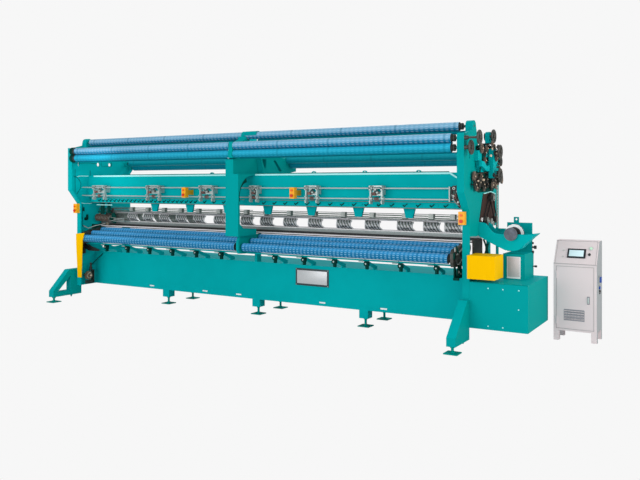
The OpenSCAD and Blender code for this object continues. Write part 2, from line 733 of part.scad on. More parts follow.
module chain_tray() color("darkturquoise") {
    difference() {
        union() {
            for (y = [tray_front, tray_front + tray_d - 8])
                plate_y(y, 8) polygon(tray_line(concat(tray_top, tray_bottom)));
            // floor between the two side plates
            plate_y(tray_front, tray_d) polygon(tray_line(concat(tray_bottom,
                [for (i = [len(tray_bottom) - 1:-1:1]) tray_bottom[i] + [0, 12]])));
        }
        block([right_out - 1, tray_front + tray_d - 9, tray_notch[1]],
              [tray_notch[0], tray_front + tray_d + 1, 1340]);
        // slots through which the drum's shaft is lowered in
        for (y = [tray_front - 1, tray_front + tray_d - 9])
            block([drum_axis[0] - journal_r - 6, y, drum_axis[1] - journal_r - 6],
                  [drum_axis[0] + journal_r + 6, y + 10, drum_axis[1] + 40]);
    }
}

// Drum with a front disc, a large flanged wheel and a shaft held by the upright plate
module pattern_drum() color("dimgray") {
    translate([drum_axis[0], 0, drum_axis[1]]) rotate([90, 0, 0]) {
        translate([0, 0, -upright_y - 18]) cylinder(r = journal_r, h = upright_y + 18 + 145);
        translate([0, 0, -40]) cylinder(r = drum_r - 12, h = 40);
        translate([0, 0, -26]) cylinder(r = 104, h = 20);
        translate([0, 0, 128]) cylinder(r = drum_r, h = 22);
    }
}

belt_x = right_out + 20;
belt_w = 30;

module main_pulley() color("dimgray") {
    rod_x(right_in + gap, belt_x + belt_w + 24, main_axis, 14);
    rod_x(belt_x, belt_x + belt_w, main_axis, pulley_r);
    rod_x(belt_x + belt_w - 1, belt_x + belt_w + 8, main_axis, 24);
}

module jack_pulley() color("dimgray") belt_wheel(jack_axis);

module side_pulley() color("dimgray") belt_wheel(side_axis);

module belt_wheel(axis) {
    rod_x(right_in + gap, belt_x + belt_w + 14, axis, 14);
    rod_x(belt_x, belt_x + belt_w, axis, jack_r);
    rod_x(belt_x + belt_w - 1, belt_x + belt_w + 6, axis, 26);
}

module drive_belts() color("black") {
    plate_x(belt_x + 1, 12) belt_2d(main_axis, pulley_r + gap, jack_axis, jack_r + gap, 7);
    plate_x(belt_x + 17, 12) belt_2d(main_axis, pulley_r + gap, side_axis, jack_r + gap, 7);
}

module worm_wheel() color("peru") {
    rod_x(left_out + 4 + gap, left_flange + 92, worm_axis, 14);
    toothed_x(left_flange + 24, 30, worm_axis, 66, 6, 30);
    rod_x(left_flange + 53, left_flange + 66, worm_axis, 34);
}

// Outboard bearings of the handwheel shafts, carried by the frame
module feed_gear_cases() color("darkturquoise") {
    difference() {
        union() {
            plate_x(pod_x, pod_d) polygon(concat([[58, 2212]], arc([wheel_axes[0][0], 2306], 42, 180, 0, 8), [[142, 2212]]));
            plate_x(pod_x, 14) polygon([[60, 2060], [60, 2220], [108, 2220], [108, 2060]]);
            block([right_out, 60, 2060], [pod_x + 14, 108, 2118]);
        }
        rod_x(pod_x - 1, pod_x + pod_d + 1, wheel_axes[0], 12 + run);
    }
    // case between the two lower handwheel shafts
    difference() {
        union() {
            block([right_out + 50, 100, 1822], [right_out + 106, 212, 2154]);
            block([right_out, 130, 1900], [right_out + 51, 190, 1990]);
        }
        for (n = [3, 4]) rod_x(right_out + 49, right_out + 107, wheel_axes[n], 12 + run);
    }
    // stepped gear case on the side of the frame
    block([right_out, -250, 2012], [right_out + 44, -130, 2124]);
    plate_x(right_out, 44) polygon([[-190, 2013], [-190, 1940], [-150, 1888], [-50, 1888], [-50, 2000], [-90, 2013]]);
}

module feed_chains() color("dimgray") {
    plate_x(chain_x[0] + 1, 6)
        belt_2d(feed_axes[3], large_sprocket + gap, wheel_axes[0], small_sprocket + gap, 5);
    plate_x(chain_x[1] + 1, 6)
        belt_2d(feed_axes[4], large_sprocket + gap, wheel_axes[3], small_sprocket + gap, 5);
    plate_x(chain_x[0] + 1, 6)
        belt_2d(idler_axis, idler_r, wheel_axes[4], small_sprocket + gap, 5);
    // idler wheel of the lowest chain, on a stud of the frame
    toothed_x(chain_x[0], 8, idler_axis, idler_r + 1, 5, 44);
    rod_x(right_out, chain_x[0] + 30, idler_axis, 20);
}

// ---------- push-button stations ----------

module station_boxes() color("orange") {
    for (p = stations) translate(p) difference() {
        translate([-station_w / 2, -station_d, -station_h / 2]) cube([station_w, station_d, station_h]);
        for (z = [-32, 32]) translate([0, -station_d + 26, z]) rotate([90, 0, 0])
            cylinder(r = 12 + gap, h = 40);
    }
    // brackets that carry the two middle boxes on the beam
    for (n = [1, 2]) block([stations[n][0] - 20, station_y - 1, stations[n][2] - 35],
                           [stations[n][0] + 20, beam_front, stations[n][2] + 35]);
}

// Push button with its stem in the box
module button(p, head_r) {
    translate([p[0], p[1] - station_d, p[2]]) rotate([90, 0, 0]) {
        translate([0, 0, -14]) cylinder(r = 12, h = 22);
        translate([0, 0, 8]) cylinder(r = head_r, h = 10);
    }
}

module start_button(n) color("darkorange") button(stations[n - 1] + [0, 0, 32], 14);
module stop_button(n) color("red") button(stations[n - 1] - [0, 0, 32], 20);
module start_button_1() start_button(1);
module start_button_2() start_button(2);
module start_button_3() start_button(3);
module start_button_4() start_button(4);
module stop_button_1() stop_button(1);
module stop_button_2() stop_button(2);
module stop_button_3() stop_button(3);
module stop_button_4() stop_button(4);

// ---------- control cabinet ----------

// Side outline of the cabinet in [y, z], drawn in from it by d
function cabinet_side(d) = [
    [cab_y + d, cab_leg + d], [cab_y + d, cab_sill], [cab_y + cab_top_y + d, cab_h - d],
    [cab_y + cab_d - d, cab_h - d], [cab_y + cab_d - d, cab_leg + d]];

module cabinet_shell() color("lightgray") {
    difference() {
        plate_x(cab_x, cab_w) polygon(cabinet_side(0));
        plate_x(cab_x + sheet, cab_w - 2 * sheet) polygon(cabinet_side(sheet));
        block([door_x0 - door_gap, cab_y - 1, door_z0 - door_gap],
              [door_x1 + door_gap, cab_y + sheet + 1, door_z1 + door_gap]);
        panel_place(cab_x + selector_at[0], selector_at[1]) rotate([90, 0, 0])
            translate([0, 0, -sheet - 1]) cylinder(r = 6 + run, h = sheet + 2);
        for (at = panel_button_at) panel_place(cab_x + at[0], at[1]) rotate([90, 0, 0])
            translate([0, 0, -sheet - 1]) cylinder(r = 7 + run, h = sheet + 2);
    }
    for (x = [cab_x, cab_x + cab_w - 60], y = [cab_y, cab_y + cab_d - 60])
        block([x, y, 0], [x + 60, y + 60, cab_leg + 1]);
    // hinge pins with their leaves on the shell
    for (z = hinge_z) {
        translate([hinge[0], hinge[1], z - 42]) cylinder(r = 2.5, h = 84);
        for (h = [z - 42, z + 21 + gap]) {
            translate([hinge[0], hinge[1], h]) cylinder(r = 4.5, h = 21 - gap);
            block([hinge[0] - 16, hinge[1], h], [hinge[0] - 1, cab_y + 1, h + 21 - gap]);
        }
    }
}

// Folded door, flush in the front of the shell
module cabinet_door() color("lightgray") {
    difference() {
        block([door_x0, cab_y, door_z0], [door_x1, cab_y + door_d, door_z1]);
        block([door_x0 + sheet, cab_y + sheet, door_z0 + sheet],
              [door_x1 - sheet, cab_y + door_d + 1, door_z1 - sheet]);
        translate([lock[0], cab_y - 1, lock[1]]) rotate([-90, 0, 0]) cylinder(r = 6 + run, h = sheet + 2);
        // air slots
        for (i = [0:8]) block([cab_x + 121, cab_y - 1, 236 + i * 13], [cab_x + 324, cab_y + sheet + 1, 241 + i * 13]);
    }
    // hinge barrels
    for (z = hinge_z) difference() {
        union() {
            translate([hinge[0], hinge[1], z - 21]) cylinder(r = 4.5, h = 42);
            block([hinge[0] + 1, hinge[1], z - 21], [hinge[0] + 16, cab_y + 1, z + 21]);
        }
        translate([hinge[0], hinge[1], z - 22]) cylinder(r = 2.5 + run, h = 44);
    }
}

module door_handle() color("gray") {
    translate([lock[0], cab_y - gap, lock[1]]) rotate([90, 0, 0]) {
        cylinder(r = 11, h = 5);
        translate([0, 0, -sheet - 12]) cylinder(r = 6, h = 16);
        translate([-6, -56, 4]) cube([12, 66, 9]);
    }
}

module panel_place(x, s) {
    translate([x, cab_y, cab_sill]) rotate([-panel_lean, 0, 0]) translate([0, 0, s]) children();
}

module touch_screen() color("black") {
    panel_place(cab_x + 235, 137) translate([-98, -9, -58]) cube([196, 9, 116]);
}

module selector_knob() color("black") {
    panel_place(cab_x + selector_at[0], selector_at[1]) rotate([90, 0, 0]) {
        translate([0, 0, -sheet - 12]) cylinder(r = 6, h = sheet + 16);
        translate([0, 0, gap]) cylinder(r = 15, h = 7);
        translate([-4, -14, gap]) cube([8, 28, 19]);
    }
}

// Flat push button in the panel
module panel_button(at) color("gray") {
    panel_place(cab_x + at[0], at[1]) rotate([90, 0, 0]) {
        translate([0, 0, -sheet - 12]) cylinder(r = 7, h = sheet + 16);
        translate([0, 0, 3.4]) cylinder(r = 10, h = 5);
    }
}

module panel_button_1() panel_button(panel_button_at[0]);
module panel_button_2() panel_button(panel_button_at[1]);

module cabinet_fittings() color("blue") {
    block([cab_x + cab_w, 560, 660], [cab_x + cab_w + 26, 610, 720]);
    rod_x(cab_x + cab_w, cab_x + cab_w + 14, [580, 600], 18);
}

// ---------- drawing ----------

base_bed();
front_legs();
levelling_feet();
end_frame_left();
end_frame_right();
mid_frame();
main_beam();
guide_rods();
rod_clamps();
upper_rail();
trick_plate();
cloth_bar();
roller_supports();
bearing_blocks();
strip_guard();
box_guard();
belt_guard();
drive_box();
drum_housing();
chain_tray();
station_boxes();
feed_gear_cases();
feed_chains();
drive_belts();
feed_roller_1();
feed_roller_2();
feed_roller_3();
feed_roller_4();
feed_roller_5();
handwheel_1();
handwheel_2();
handwheel_3();
handwheel_4();
handwheel_5();
takeup_roller_1();
takeup_roller_2();
takeup_roller_3();
needle_bar();
guide_arms();
main_pulley();
jack_pulley();
side_pulley();
pattern_drum();
worm_wheel();
start_button_1();
start_button_2();
start_button_3();
start_button_4();
stop_button_1();
stop_button_2();
stop_button_3();
stop_button_4();
cabinet_shell();
cabinet_fittings();
touch_screen();
cabinet_door();
door_handle();
selector_knob();
panel_button_1();
panel_button_2();
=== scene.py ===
"""Warp knitting machine with its control cabinet: finishes, trim, light and camera round the CAD frame."""
import json
import math

import bpy
from mathutils import Matrix, Vector

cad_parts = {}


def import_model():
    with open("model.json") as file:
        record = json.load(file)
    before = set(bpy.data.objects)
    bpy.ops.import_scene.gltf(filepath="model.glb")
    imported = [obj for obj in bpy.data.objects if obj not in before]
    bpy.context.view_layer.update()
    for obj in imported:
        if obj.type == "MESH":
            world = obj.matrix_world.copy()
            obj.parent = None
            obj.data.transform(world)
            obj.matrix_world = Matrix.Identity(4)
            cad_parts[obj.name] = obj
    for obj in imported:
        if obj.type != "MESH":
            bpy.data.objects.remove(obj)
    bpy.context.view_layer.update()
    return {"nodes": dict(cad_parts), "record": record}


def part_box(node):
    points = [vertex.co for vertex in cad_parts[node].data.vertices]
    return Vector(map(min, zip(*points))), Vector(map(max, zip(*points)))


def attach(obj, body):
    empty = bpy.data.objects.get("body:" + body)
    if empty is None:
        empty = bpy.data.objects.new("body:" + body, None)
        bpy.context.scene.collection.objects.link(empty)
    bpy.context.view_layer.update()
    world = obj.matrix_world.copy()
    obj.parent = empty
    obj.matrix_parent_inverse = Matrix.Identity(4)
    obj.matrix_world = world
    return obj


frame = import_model()
nodes = frame["nodes"]


# ---- selection and mesh helpers

def deselect():
    """Clear the selection, so that an operator acts only on what is picked next."""
    if bpy.context.object and bpy.context.object.mode != "OBJECT":
        bpy.ops.object.mode_set(mode="OBJECT")
    bpy.ops.object.select_all(action="DESELECT")


def pick(piece):
    deselect()
    piece.select_set(True)
    bpy.context.view_layer.objects.active = piece


def settle(piece):
    """Put the place, turn and scale of a piece into its mesh."""
    pick(piece)
    bpy.ops.object.transform_apply(location=True, rotation=True, scale=True)
    return piece


def apply_modifier(piece, kind, **settings):
    pick(piece)
    modifier = piece.modifiers.new(kind.title(), kind)
    for key, value in settings.items():
        setattr(modifier, key, value)
    bpy.ops.object.modifier_apply(modifier=modifier.name)
    return piece


def smoothed(piece, degrees):
    pick(piece)
    bpy.ops.object.shade_smooth_by_angle(angle=math.radians(degrees))
    return piece


def bevelled(piece, width):
    """Round the edges sharper than 40 degrees; width in metres."""
    apply_modifier(piece, "BEVEL", width=width, segments=2, limit_method="ANGLE",
                   angle_limit=math.radians(40))
    return smoothed(piece, 40)


def linked(name, data):
    """New object of the scene that holds the data given."""
    made = bpy.data.objects.new(name, data)
    bpy.context.scene.collection.objects.link(made)
    return made


def from_faces(corners, faces):
    mesh = bpy.data.meshes.new("faces")
    mesh.from_pydata(corners, [], faces)
    return linked("faces", mesh)


def edit_all(piece):
    pick(piece)
    bpy.ops.object.mode_set(mode="EDIT")
    bpy.ops.mesh.select_all(action="SELECT")


def face_outwards(piece):
    edit_all(piece)
    bpy.ops.mesh.normals_make_consistent(inside=False)
    bpy.ops.object.mode_set(mode="OBJECT")


def joined(name, pieces):
    """One object from several pieces that share a finish and a body."""
    deselect()
    for piece in pieces:
        piece.select_set(True)
    bpy.context.view_layer.objects.active = pieces[0]
    if len(pieces) > 1:
        bpy.ops.object.join()
    piece = bpy.context.object
    piece.name = name
    piece.data.name = name
    return piece


# ---- shader maths

def math_node(operation, swapped=False):
    """Method that adds one Math node for a value and, where it takes one, another."""
    def method(self, *other):
        values = (*other, self) if swapped else (self, *other)
        return self.shader.node("ShaderNodeMath", {"operation": operation}, dict(enumerate(values)))
    return method


class Val:
    """A shader socket with arithmetic."""

    def __init__(self, shader, socket):
        self.shader = shader
        self.socket = socket

    __add__ = math_node("ADD")
    __radd__ = math_node("ADD", True)
    __sub__ = math_node("SUBTRACT")
    __rsub__ = math_node("SUBTRACT", True)
    __mul__ = math_node("MULTIPLY")
    __rmul__ = math_node("MULTIPLY", True)
    __truediv__ = math_node("DIVIDE")
    below = math_node("LESS_THAN")
    above = math_node("GREATER_THAN")
    fraction = math_node("FRACT")
    absolute = math_node("ABSOLUTE")
    arctan2 = math_node("ARCTAN2")

    def ramp(self, low, high):
        """0 at low, 1 at high, smooth between."""
        return self.shader.node("ShaderNodeMapRange", {"interpolation_type": "SMOOTHSTEP"},
                                {"Value": self, "From Min": low, "From Max": high})


class Shader:
    """A material being built round one Principled shader."""

    def __init__(self, name, color, roughness=0.5, metallic=0.0, specular=0.5):
        self.material = bpy.data.materials.new(name)
        self.material.use_nodes = True
        self.tree = self.material.node_tree
        self.bsdf = self.tree.nodes["Principled BSDF"]
        self.set("Base Color", (*color, 1.0))
        self.set("Roughness", roughness)
        self.set("Metallic", metallic)
        self.set("Specular IOR Level", specular)

    def node(self, kind, settings=None, values=None, out=0):
        made = self.tree.nodes.new(kind)
        for key, value in (settings or {}).items():
            setattr(made, key, value)
        for key, value in (values or {}).items():
            if isinstance(value, Val):
                self.tree.links.new(value.socket, made.inputs[key])
            else:
                made.inputs[key].default_value = value
        return Val(self, made.outputs[out])

    def set(self, socket, value):
        if isinstance(value, Val):
            self.tree.links.new(value.socket, self.bsdf.inputs[socket])
        else:
            self.bsdf.inputs[socket].default_value = value

    def place(self):
        """Object coordinates as one vector."""
        return self.node("ShaderNodeTexCoord", out=3)

    def parts(self, vector):
        split = self.tree.nodes.new("ShaderNodeSeparateXYZ")
        self.tree.links.new(vector.socket, split.inputs[0])
        return [Val(self, split.outputs[i]) for i in range(3)]

    def axes(self):
        return self.parts(self.place())

    def facing(self):
        """World normal, part by part."""
        return self.parts(self.node("ShaderNodeNewGeometry", out=1))

    def noise(self, scale, detail=3.0, roughness=0.5, vector=None):
        return self.node("ShaderNodeTexNoise", None,
                         {"Vector": vector or self.place(), "Scale": scale, "Detail": detail,
                          "Roughness": roughness})

    def mix(self, factor, first, second):
        made = self.tree.nodes.new("ShaderNodeMix")
        made.data_type = "RGBA"
        for index, value in ((0, factor), (6, first), (7, second)):
            if isinstance(value, Val):
                self.tree.links.new(value.socket, made.inputs[index])
            elif index == 0:
                made.inputs[index].default_value = value
            else:
                made.inputs[index].default_value = (*value, 1.0)
        return Val(self, made.outputs[2])

    def bump(self, height, strength=0.2, distance=0.001):
        self.set("Normal", self.node("ShaderNodeBump", None,
                                     {"Strength": strength, "Distance": distance, "Height": height}))


def srgb(red, green, blue):
    """A colour written in 0 to 255 display values, as linear light."""
    def linear(value):
        value /= 255
        return value / 12.92 if value <= 0.04045 else ((value + 0.055) / 1.055) ** 2.4
    return tuple(linear(value) for value in (red, green, blue))


def shade(color, factor):
    return tuple(min(1.0, value * factor) for value in color)


# ---- places, in millimetres

RIGHT = 3091  # outer face of the right end frame
RIGHT_IN = 3067
LEFT_IN = -3098
BEAM_FRONT = -219
LOWER_FRONT = -176  # set-back lower part of the beam
BEAM_TOP = 1885
MID = 102  # half width of the middle column
COLUMN_ARC = (-290, 1590)  # centre of the column's curved foot, in y and z
CABINET = (3784, 437, 861)  # left edge, front and sill of the sloping panel
CABINET_WIDTH = 462
PANEL_LEAN = math.atan2(175, 252)
TAKEUP_AXES = [(-394, 933), (-210, 989), (-26, 1029)]
DRUM = (3460, 1210)  # axis of the pattern drum, along Y
WORM = (-292, 355)  # axis of the worm wheel, along X
SWING_SHAFT = (75, 1247)  # axis of the guide arms, along X
CLAMPS = [(-2830, -2600), (-1720, -1490), (-731, -516), (120, 222), (972, 1131), (1865, 2017)]
CLAMP_Y, ROD_Z = -332, (1706, 1582)  # the two front rods
GROUP_X = [-2390, -2060, -1730, -1400, -1070, -690, -215, 115, 494, 881, 1306, 1710, 2146, 2485, 2750]
SIDE_SHADE_SKIN = 0.7  # depth of the painted shade on the cabinet's outer sides
RAIL_END_UNIT_Z, RAIL_DISCS_X = 1450, -2600  # where the rail's finish changes
CHAIN_PITCH = 26


# ---- finishes

ENAMEL_GLOSS, ORANGE_PEEL = 0.015, 260.0


def painted(name, color, roughness=0.5, wear=0.05):
    """Sprayed enamel: faint tone drift, orange peel, a little dust in broad patches."""
    paint = Shader(name, color, roughness, specular=ENAMEL_GLOSS)
    drift = paint.noise(1.3, 4.0, 0.6)
    paint.set("Base Color", paint.mix(drift.ramp(0.3, 0.7), shade(color, 1 - wear), shade(color, 1 + wear)))
    paint.set("Roughness", roughness - 0.06 + 0.12 * paint.noise(9.0, 3.0))
    paint.bump(paint.noise(ORANGE_PEEL, 2.0), 0.12, 0.0006)
    return paint.material


def machined(name, color, roughness=0.32, metallic=0.85, stretch=(4.0, 160.0, 160.0)):
    """Ground steel with fine lines along the machine."""
    steel = Shader(name, color, roughness, metallic)
    grain = steel.node("ShaderNodeMapping", None, {"Vector": steel.place(), "Scale": stretch})
    lines = steel.noise(6.0, 5.0, 0.7, grain)
    steel.set("Base Color", steel.mix(lines.ramp(0.3, 0.7), shade(color, 0.78), shade(color, 1.15)))
    steel.set("Roughness", roughness - 0.08 + 0.16 * lines)
    steel.bump(lines, 0.15, 0.0004)
    return steel.material


def cast(name, color, roughness=0.55, metallic=0.4):
    """Dark cast or oiled iron with blotches."""
    iron = Shader(name, color, roughness, metallic)
    blotch = iron.noise(22.0, 5.0, 0.65)
    iron.set("Base Color", iron.mix(blotch.ramp(0.35, 0.7), shade(color, 0.7), shade(color, 1.45)))
    iron.set("Roughness", roughness - 0.12 + 0.25 * blotch)
    iron.bump(iron.noise(420.0, 3.0), 0.3, 0.0008)
    return iron.material


def moulded(name, color, roughness=0.4):
    """Moulded plastic with a fine spark-eroded grain."""
    plastic = Shader(name, color, roughness, specular=0.35)
    plastic.set("Base Color", plastic.mix(plastic.noise(6.0, 2.0), shade(color, 0.94), shade(color, 1.05)))
    plastic.bump(plastic.noise(900.0, 2.0), 0.15, 0.0003)
    return plastic.material


def sleeve(name, colors, axis, ends, pitch, rows, radius, painted_highlight_range, strength):
    """Anti-slip sleeve: painted shade below and painted highlight above, by the world normal, with rows of
    pale dots, and dark hubs beyond its ends.
    """
    low, high, dot = (srgb(*color) for color in colors)
    hub = srgb(54, 58, 56)
    gloss, hub_gloss = 0.45, 0.5
    cover = Shader(name, high, gloss, specular=0.12)
    along, across, height = cover.axes()
    off_y, off_z = across - axis[0], height - axis[1]
    turn = off_z.arctan2(off_y) * (rows / math.tau)
    step = along / pitch
    mark = ((1 - (step.fraction() - 0.5).absolute().ramp(0.18, 0.34))
            * (1 - (turn.fraction() - 0.5).absolute().ramp(0.14, 0.30)))
    seam = ((along / (pitch * 12)).fraction() - 0.5).absolute().ramp(0.47, 0.49)
    # painted shade and painted highlight: low tone where the world normal points down, high tone where it
    # points up
    tone = cover.mix(cover.facing()[2].ramp(*painted_highlight_range), low, high)
    tone = cover.mix(cover.noise(0.9, 3.0).ramp(0.3, 0.7) * 0.16, tone, shade(low, 0.9))
    tone = cover.mix(mark * strength, tone, dot)
    tone = cover.mix(seam * 0.35, tone, shade(low, 0.8))
    rubber = (off_y * off_y + off_z * off_z).above((0.97 * radius) ** 2)
    inside = along.above(ends[0]) * along.below(ends[1]) * rubber
    cover.set("Base Color", cover.mix(inside, hub, tone))
    cover.set("Roughness", hub_gloss + inside * (gloss - hub_gloss) + 0.2 * mark)
    cover.bump(mark * inside, 0.35, 0.001)
    return cover.material


def rail_finish():
    """Grey-green rail steel, darker on the end unit above it and on the pattern discs at its far end."""
    rail = Shader("upper_rail", srgb(96, 106, 102), 0.5, 0.2)
    along, _, height = rail.axes()
    blotch = rail.noise(22.0, 4.0, 0.6).ramp(0.35, 0.7)
    plain = rail.mix(blotch, srgb(56, 74, 68), srgb(98, 112, 106))
    dark = rail.mix(blotch, srgb(10, 58, 52), srgb(24, 86, 78))
    brown = rail.mix(blotch, srgb(46, 46, 44), srgb(98, 92, 88))
    tone = rail.mix(height.above(RAIL_END_UNIT_Z / 1000), plain, dark)
    rail.set("Base Color", rail.mix(along.below(RAIL_DISCS_X / 1000), tone, brown))
    rail.bump(rail.noise(420.0, 3.0), 0.2, 0.0006)
    return rail.material


def cabinet_powder():
    """Pale grey powder coat, with painted shade: the outer side panels a darker grey."""
    pale, side = srgb(211, 201, 204), srgb(146, 151, 155)
    left, right = CABINET[0], CABINET[0] + CABINET_WIDTH
    coat = Shader("cabinet_powder", pale, 0.55, specular=0.1)
    along = coat.axes()[0]
    # mask of the painted shade on the outer side panels
    outside = along.above((right - SIDE_SHADE_SKIN) / 1000) + along.below((left + SIDE_SHADE_SKIN) / 1000)
    coat.set("Base Color", coat.mix(outside, pale, side))
    coat.bump(coat.noise(700.0, 2.0), 0.12, 0.0004)
    return coat.material


TEAL = srgb(0, 163, 167)


def frame_enamel():
    """Machine enamel of the upright frames, with painted shade by world normal: faces turned to the front a
    deeper teal, faces turned to the drive side a touch greener.
    """
    paint = Shader("frame_enamel", TEAL, 0.5, specular=ENAMEL_GLOSS)
    facing = paint.facing()
    # painted shade by world normal: greener on faces turned to the drive side, deeper on faces turned to the
    # front
    painted_side_tone = facing[0].ramp(0.2, 0.9)
    ahead = (facing[1] * -1.0).ramp(0.5, 0.95)
    tone = paint.mix(paint.noise(1.3, 4.0, 0.6).ramp(0.3, 0.7), shade(TEAL, 0.95), shade(TEAL, 1.05))
    tone = paint.mix(painted_side_tone, tone, srgb(0, 146, 144))
    paint.set("Base Color", paint.mix(ahead, tone, srgb(0, 150, 152)))
    paint.bump(paint.noise(ORANGE_PEEL, 2.0), 0.12, 0.0006)
    return paint.material


CROSS_LINES = (60.0, 60.0, 60.0)
ARM_LINES = (9.0, 60.0, 60.0)
FINISHES = {  # finish, its usual material slot, display colour, settings of its kind
    painted: (
        ("foot_paint", "foot_paint", (0, 140, 132)),
        ("guard_yellow", "guard_yellow", (238, 184, 0), 0.5, 0.03),
        ("guard_brown", "guard_brown", (66, 52, 48), 0.55),
        # pale tone of the painted highlights on edges and screw heads
        ("edge_pale", "plated_steel", (170, 236, 236), 0.5, 0.02),
        ("teal_dark", "machine_paint", (0, 118, 112)),
        # dark teal of the painted shade in the gaps between the feed rollers
        ("teal_tube", "machine_paint", (0, 108, 122)),
        ("teal_deep", "black_iron", (10, 62, 56), 0.5, 0.2)),
    machined: (
        ("plated_steel", "plated_steel", (176, 190, 188), 0.4, 0.35),
        ("arm_steel", "arm_steel", (172, 172, 174), 0.42, 0.35, ARM_LINES),
        ("pale_bar", "pale_bar", (238, 230, 230), 0.35, 0.1),
        ("bronze", "bronze", (150, 128, 104), 0.45, 0.5),
        ("plate_grey", "plated_steel", (196, 198, 200), 0.4, 0.3, CROSS_LINES),
        ("needle_grey", "arm_steel", (122, 130, 130), 0.42, 0.35, ARM_LINES),
        ("clamp_grey", "plated_steel", (158, 164, 160), 0.4, 0.3, CROSS_LINES),
        ("pane_rose", "plated_steel", (204, 196, 200), 0.45, 0.1, CROSS_LINES)),
    cast: (
        ("dark_steel", "dark_steel", (66, 66, 62)),
        ("black_iron", "black_iron", (24, 26, 26), 0.6, 0.2),
        ("drum_grey", "drum_grey", (76, 82, 94), 0.5, 0.2),
        ("gear_brown", "dark_steel", (104, 90, 80), 0.5, 0.3),
        ("oiled", "dark_steel", (44, 46, 42), 0.5, 0.3),
        ("rail_steel", "dark_steel", (96, 106, 102), 0.5, 0.3),
        ("copper_red", "bronze", (124, 88, 82), 0.45, 0.3)),
    moulded: (
        ("station_yellow", "station_yellow", (240, 166, 12)),
        ("button_orange", "button_orange", (232, 100, 20), 0.35),
        ("button_red", "button_red", (206, 50, 20), 0.35),
        ("belt_rubber", "belt_rubber", (26, 26, 28), 0.75),
        ("screen_black", "screen_black", (24, 30, 38), 0.3),
        ("socket_blue", "socket_blue", (36, 76, 160), 0.35),
        ("knob_black", "knob_black", (34, 34, 38), 0.4),
        ("button_grey", "button_grey", (190, 192, 190), 0.4),
        ("plate_dark", "black_iron", (46, 62, 66), 0.5),
        ("white_plastic", "pale_bar", (238, 238, 240), 0.45),
        ("screen_glass", "screen_black", (206, 232, 240), 0.15),
        ("lamp_green", "button_grey", (196, 240, 208), 0.3),
        ("beige", "bronze", (206, 184, 160), 0.5),
        ("vent_grey", "button_grey", (132, 132, 140), 0.5),
        ("vent_dark", "black_iron", (58, 62, 74), 0.5),
        ("cabinet_shade", "cabinet_paint", (160, 156, 158), 0.5)),
}
finishes = {name: kind(name, srgb(*color), *settings)
            for kind, rows in FINISHES.items() for name, slot, color, *settings in rows}
finishes.update(machine_paint=painted("machine_paint", TEAL), upper_rail=rail_finish(),
                cabinet_paint=cabinet_powder(), frame_enamel=frame_enamel())


def axis_of(node):
    low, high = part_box(node)
    return ((low.y + high.y) / 2, (low.z + high.z) / 2)


# the normal-height range in each sleeve's settings runs from painted shade to painted highlight
FEED_SLEEVE = dict(pitch=0.06, rows=12, radius=0.05, painted_highlight_range=(-0.55, 0.2), strength=0.34)
TAKEUP_SLEEVE = dict(pitch=0.052, rows=14, radius=0.055, painted_highlight_range=(0.1, 0.6), strength=0.55)
TAKEUP_ENDS = (-2.986, 2.851)
# painted-shade low, painted-highlight high and dot colours of the take-up rollers
TAKEUP_TONES = ((0, 104, 150), (48, 142, 200), (142, 204, 240))
FEED_TONES = {  # painted-shade low, painted-highlight high and dot colours of feed rollers 1 to 5
    1: ((0, 108, 146), (124, 178, 208), (190, 208, 228)),
    2: ((0, 112, 150), (112, 174, 208), (186, 206, 228)),
    3: ((0, 134, 162), (28, 162, 196), (64, 190, 218)),
    4: ((0, 142, 158), (0, 164, 182), (30, 174, 190)),
    5: ((0, 134, 156), (0, 156, 178), (20, 164, 186))}


def sleeve_of(name):
    """Finish of one roller: colour by its place, ends where the sleeve ends."""
    axis = axis_of(name)
    if name.startswith("takeup"):
        return sleeve(name + "_sleeve", TAKEUP_TONES, axis, TAKEUP_ENDS, **TAKEUP_SLEEVE)
    number = int(name[-1])
    ends = (-2.95 if number in (2, 3) else -2.993, 2.926 if number == 1 else 2.949)
    return sleeve(name + "_sleeve", FEED_TONES[number], axis, ends, **FEED_SLEEVE)


def dress_nodes():
    """Give every CAD node its finish; the sleeves follow each roller's own axis."""
    slot_of = {part["node"]: part["material_slot"] for part in frame["record"]["subparts"]}
    own = {"upper_rail": "upper_rail", "needle_bar": "needle_grey"}
    own.update(dict.fromkeys(("end_frame_right", "mid_frame", "front_legs", "drive_box", "drum_housing"),
                             "frame_enamel"))
    for name, node in nodes.items():
        roller = "roller_" in name and "support" not in name
        finish = sleeve_of(name) if roller else finishes[own.get(name, slot_of[name])]
        node.data.materials.clear()
        node.data.materials.append(finish)


dress_nodes()


# ---- trim, in millimetres

def mm(*values):
    """Millimetres to a vector in metres."""
    return Vector(values) / 1000


def bar(low, high):
    """Block between two corners in mm."""
    deselect()
    low, high = mm(*low), mm(*high)
    bpy.ops.mesh.primitive_cube_add(size=1, location=(low + high) / 2)
    piece = bpy.context.object
    piece.scale = high - low
    return settle(piece)


def rod(start, end, radius, sides):
    """Round bar between two points, in metres."""
    deselect()
    along = end - start
    bpy.ops.mesh.primitive_cylinder_add(vertices=sides, radius=radius, depth=along.length,
                                        location=(start + end) / 2,
                                        rotation=along.to_track_quat("Z", "Y").to_euler())
    return settle(bpy.context.object)


def shaft(start, end, radius, sides=16):
    return rod(mm(*start), mm(*end), radius / 1000, sides)


def pin_x(x0, x1, y, z, radius, sides=16):
    return shaft((x0, y, z), (x1, y, z), radius, sides)


def pin_y(x, y0, y1, z, radius, sides=16):
    return shaft((x, y0, z), (x, y1, z), radius, sides)


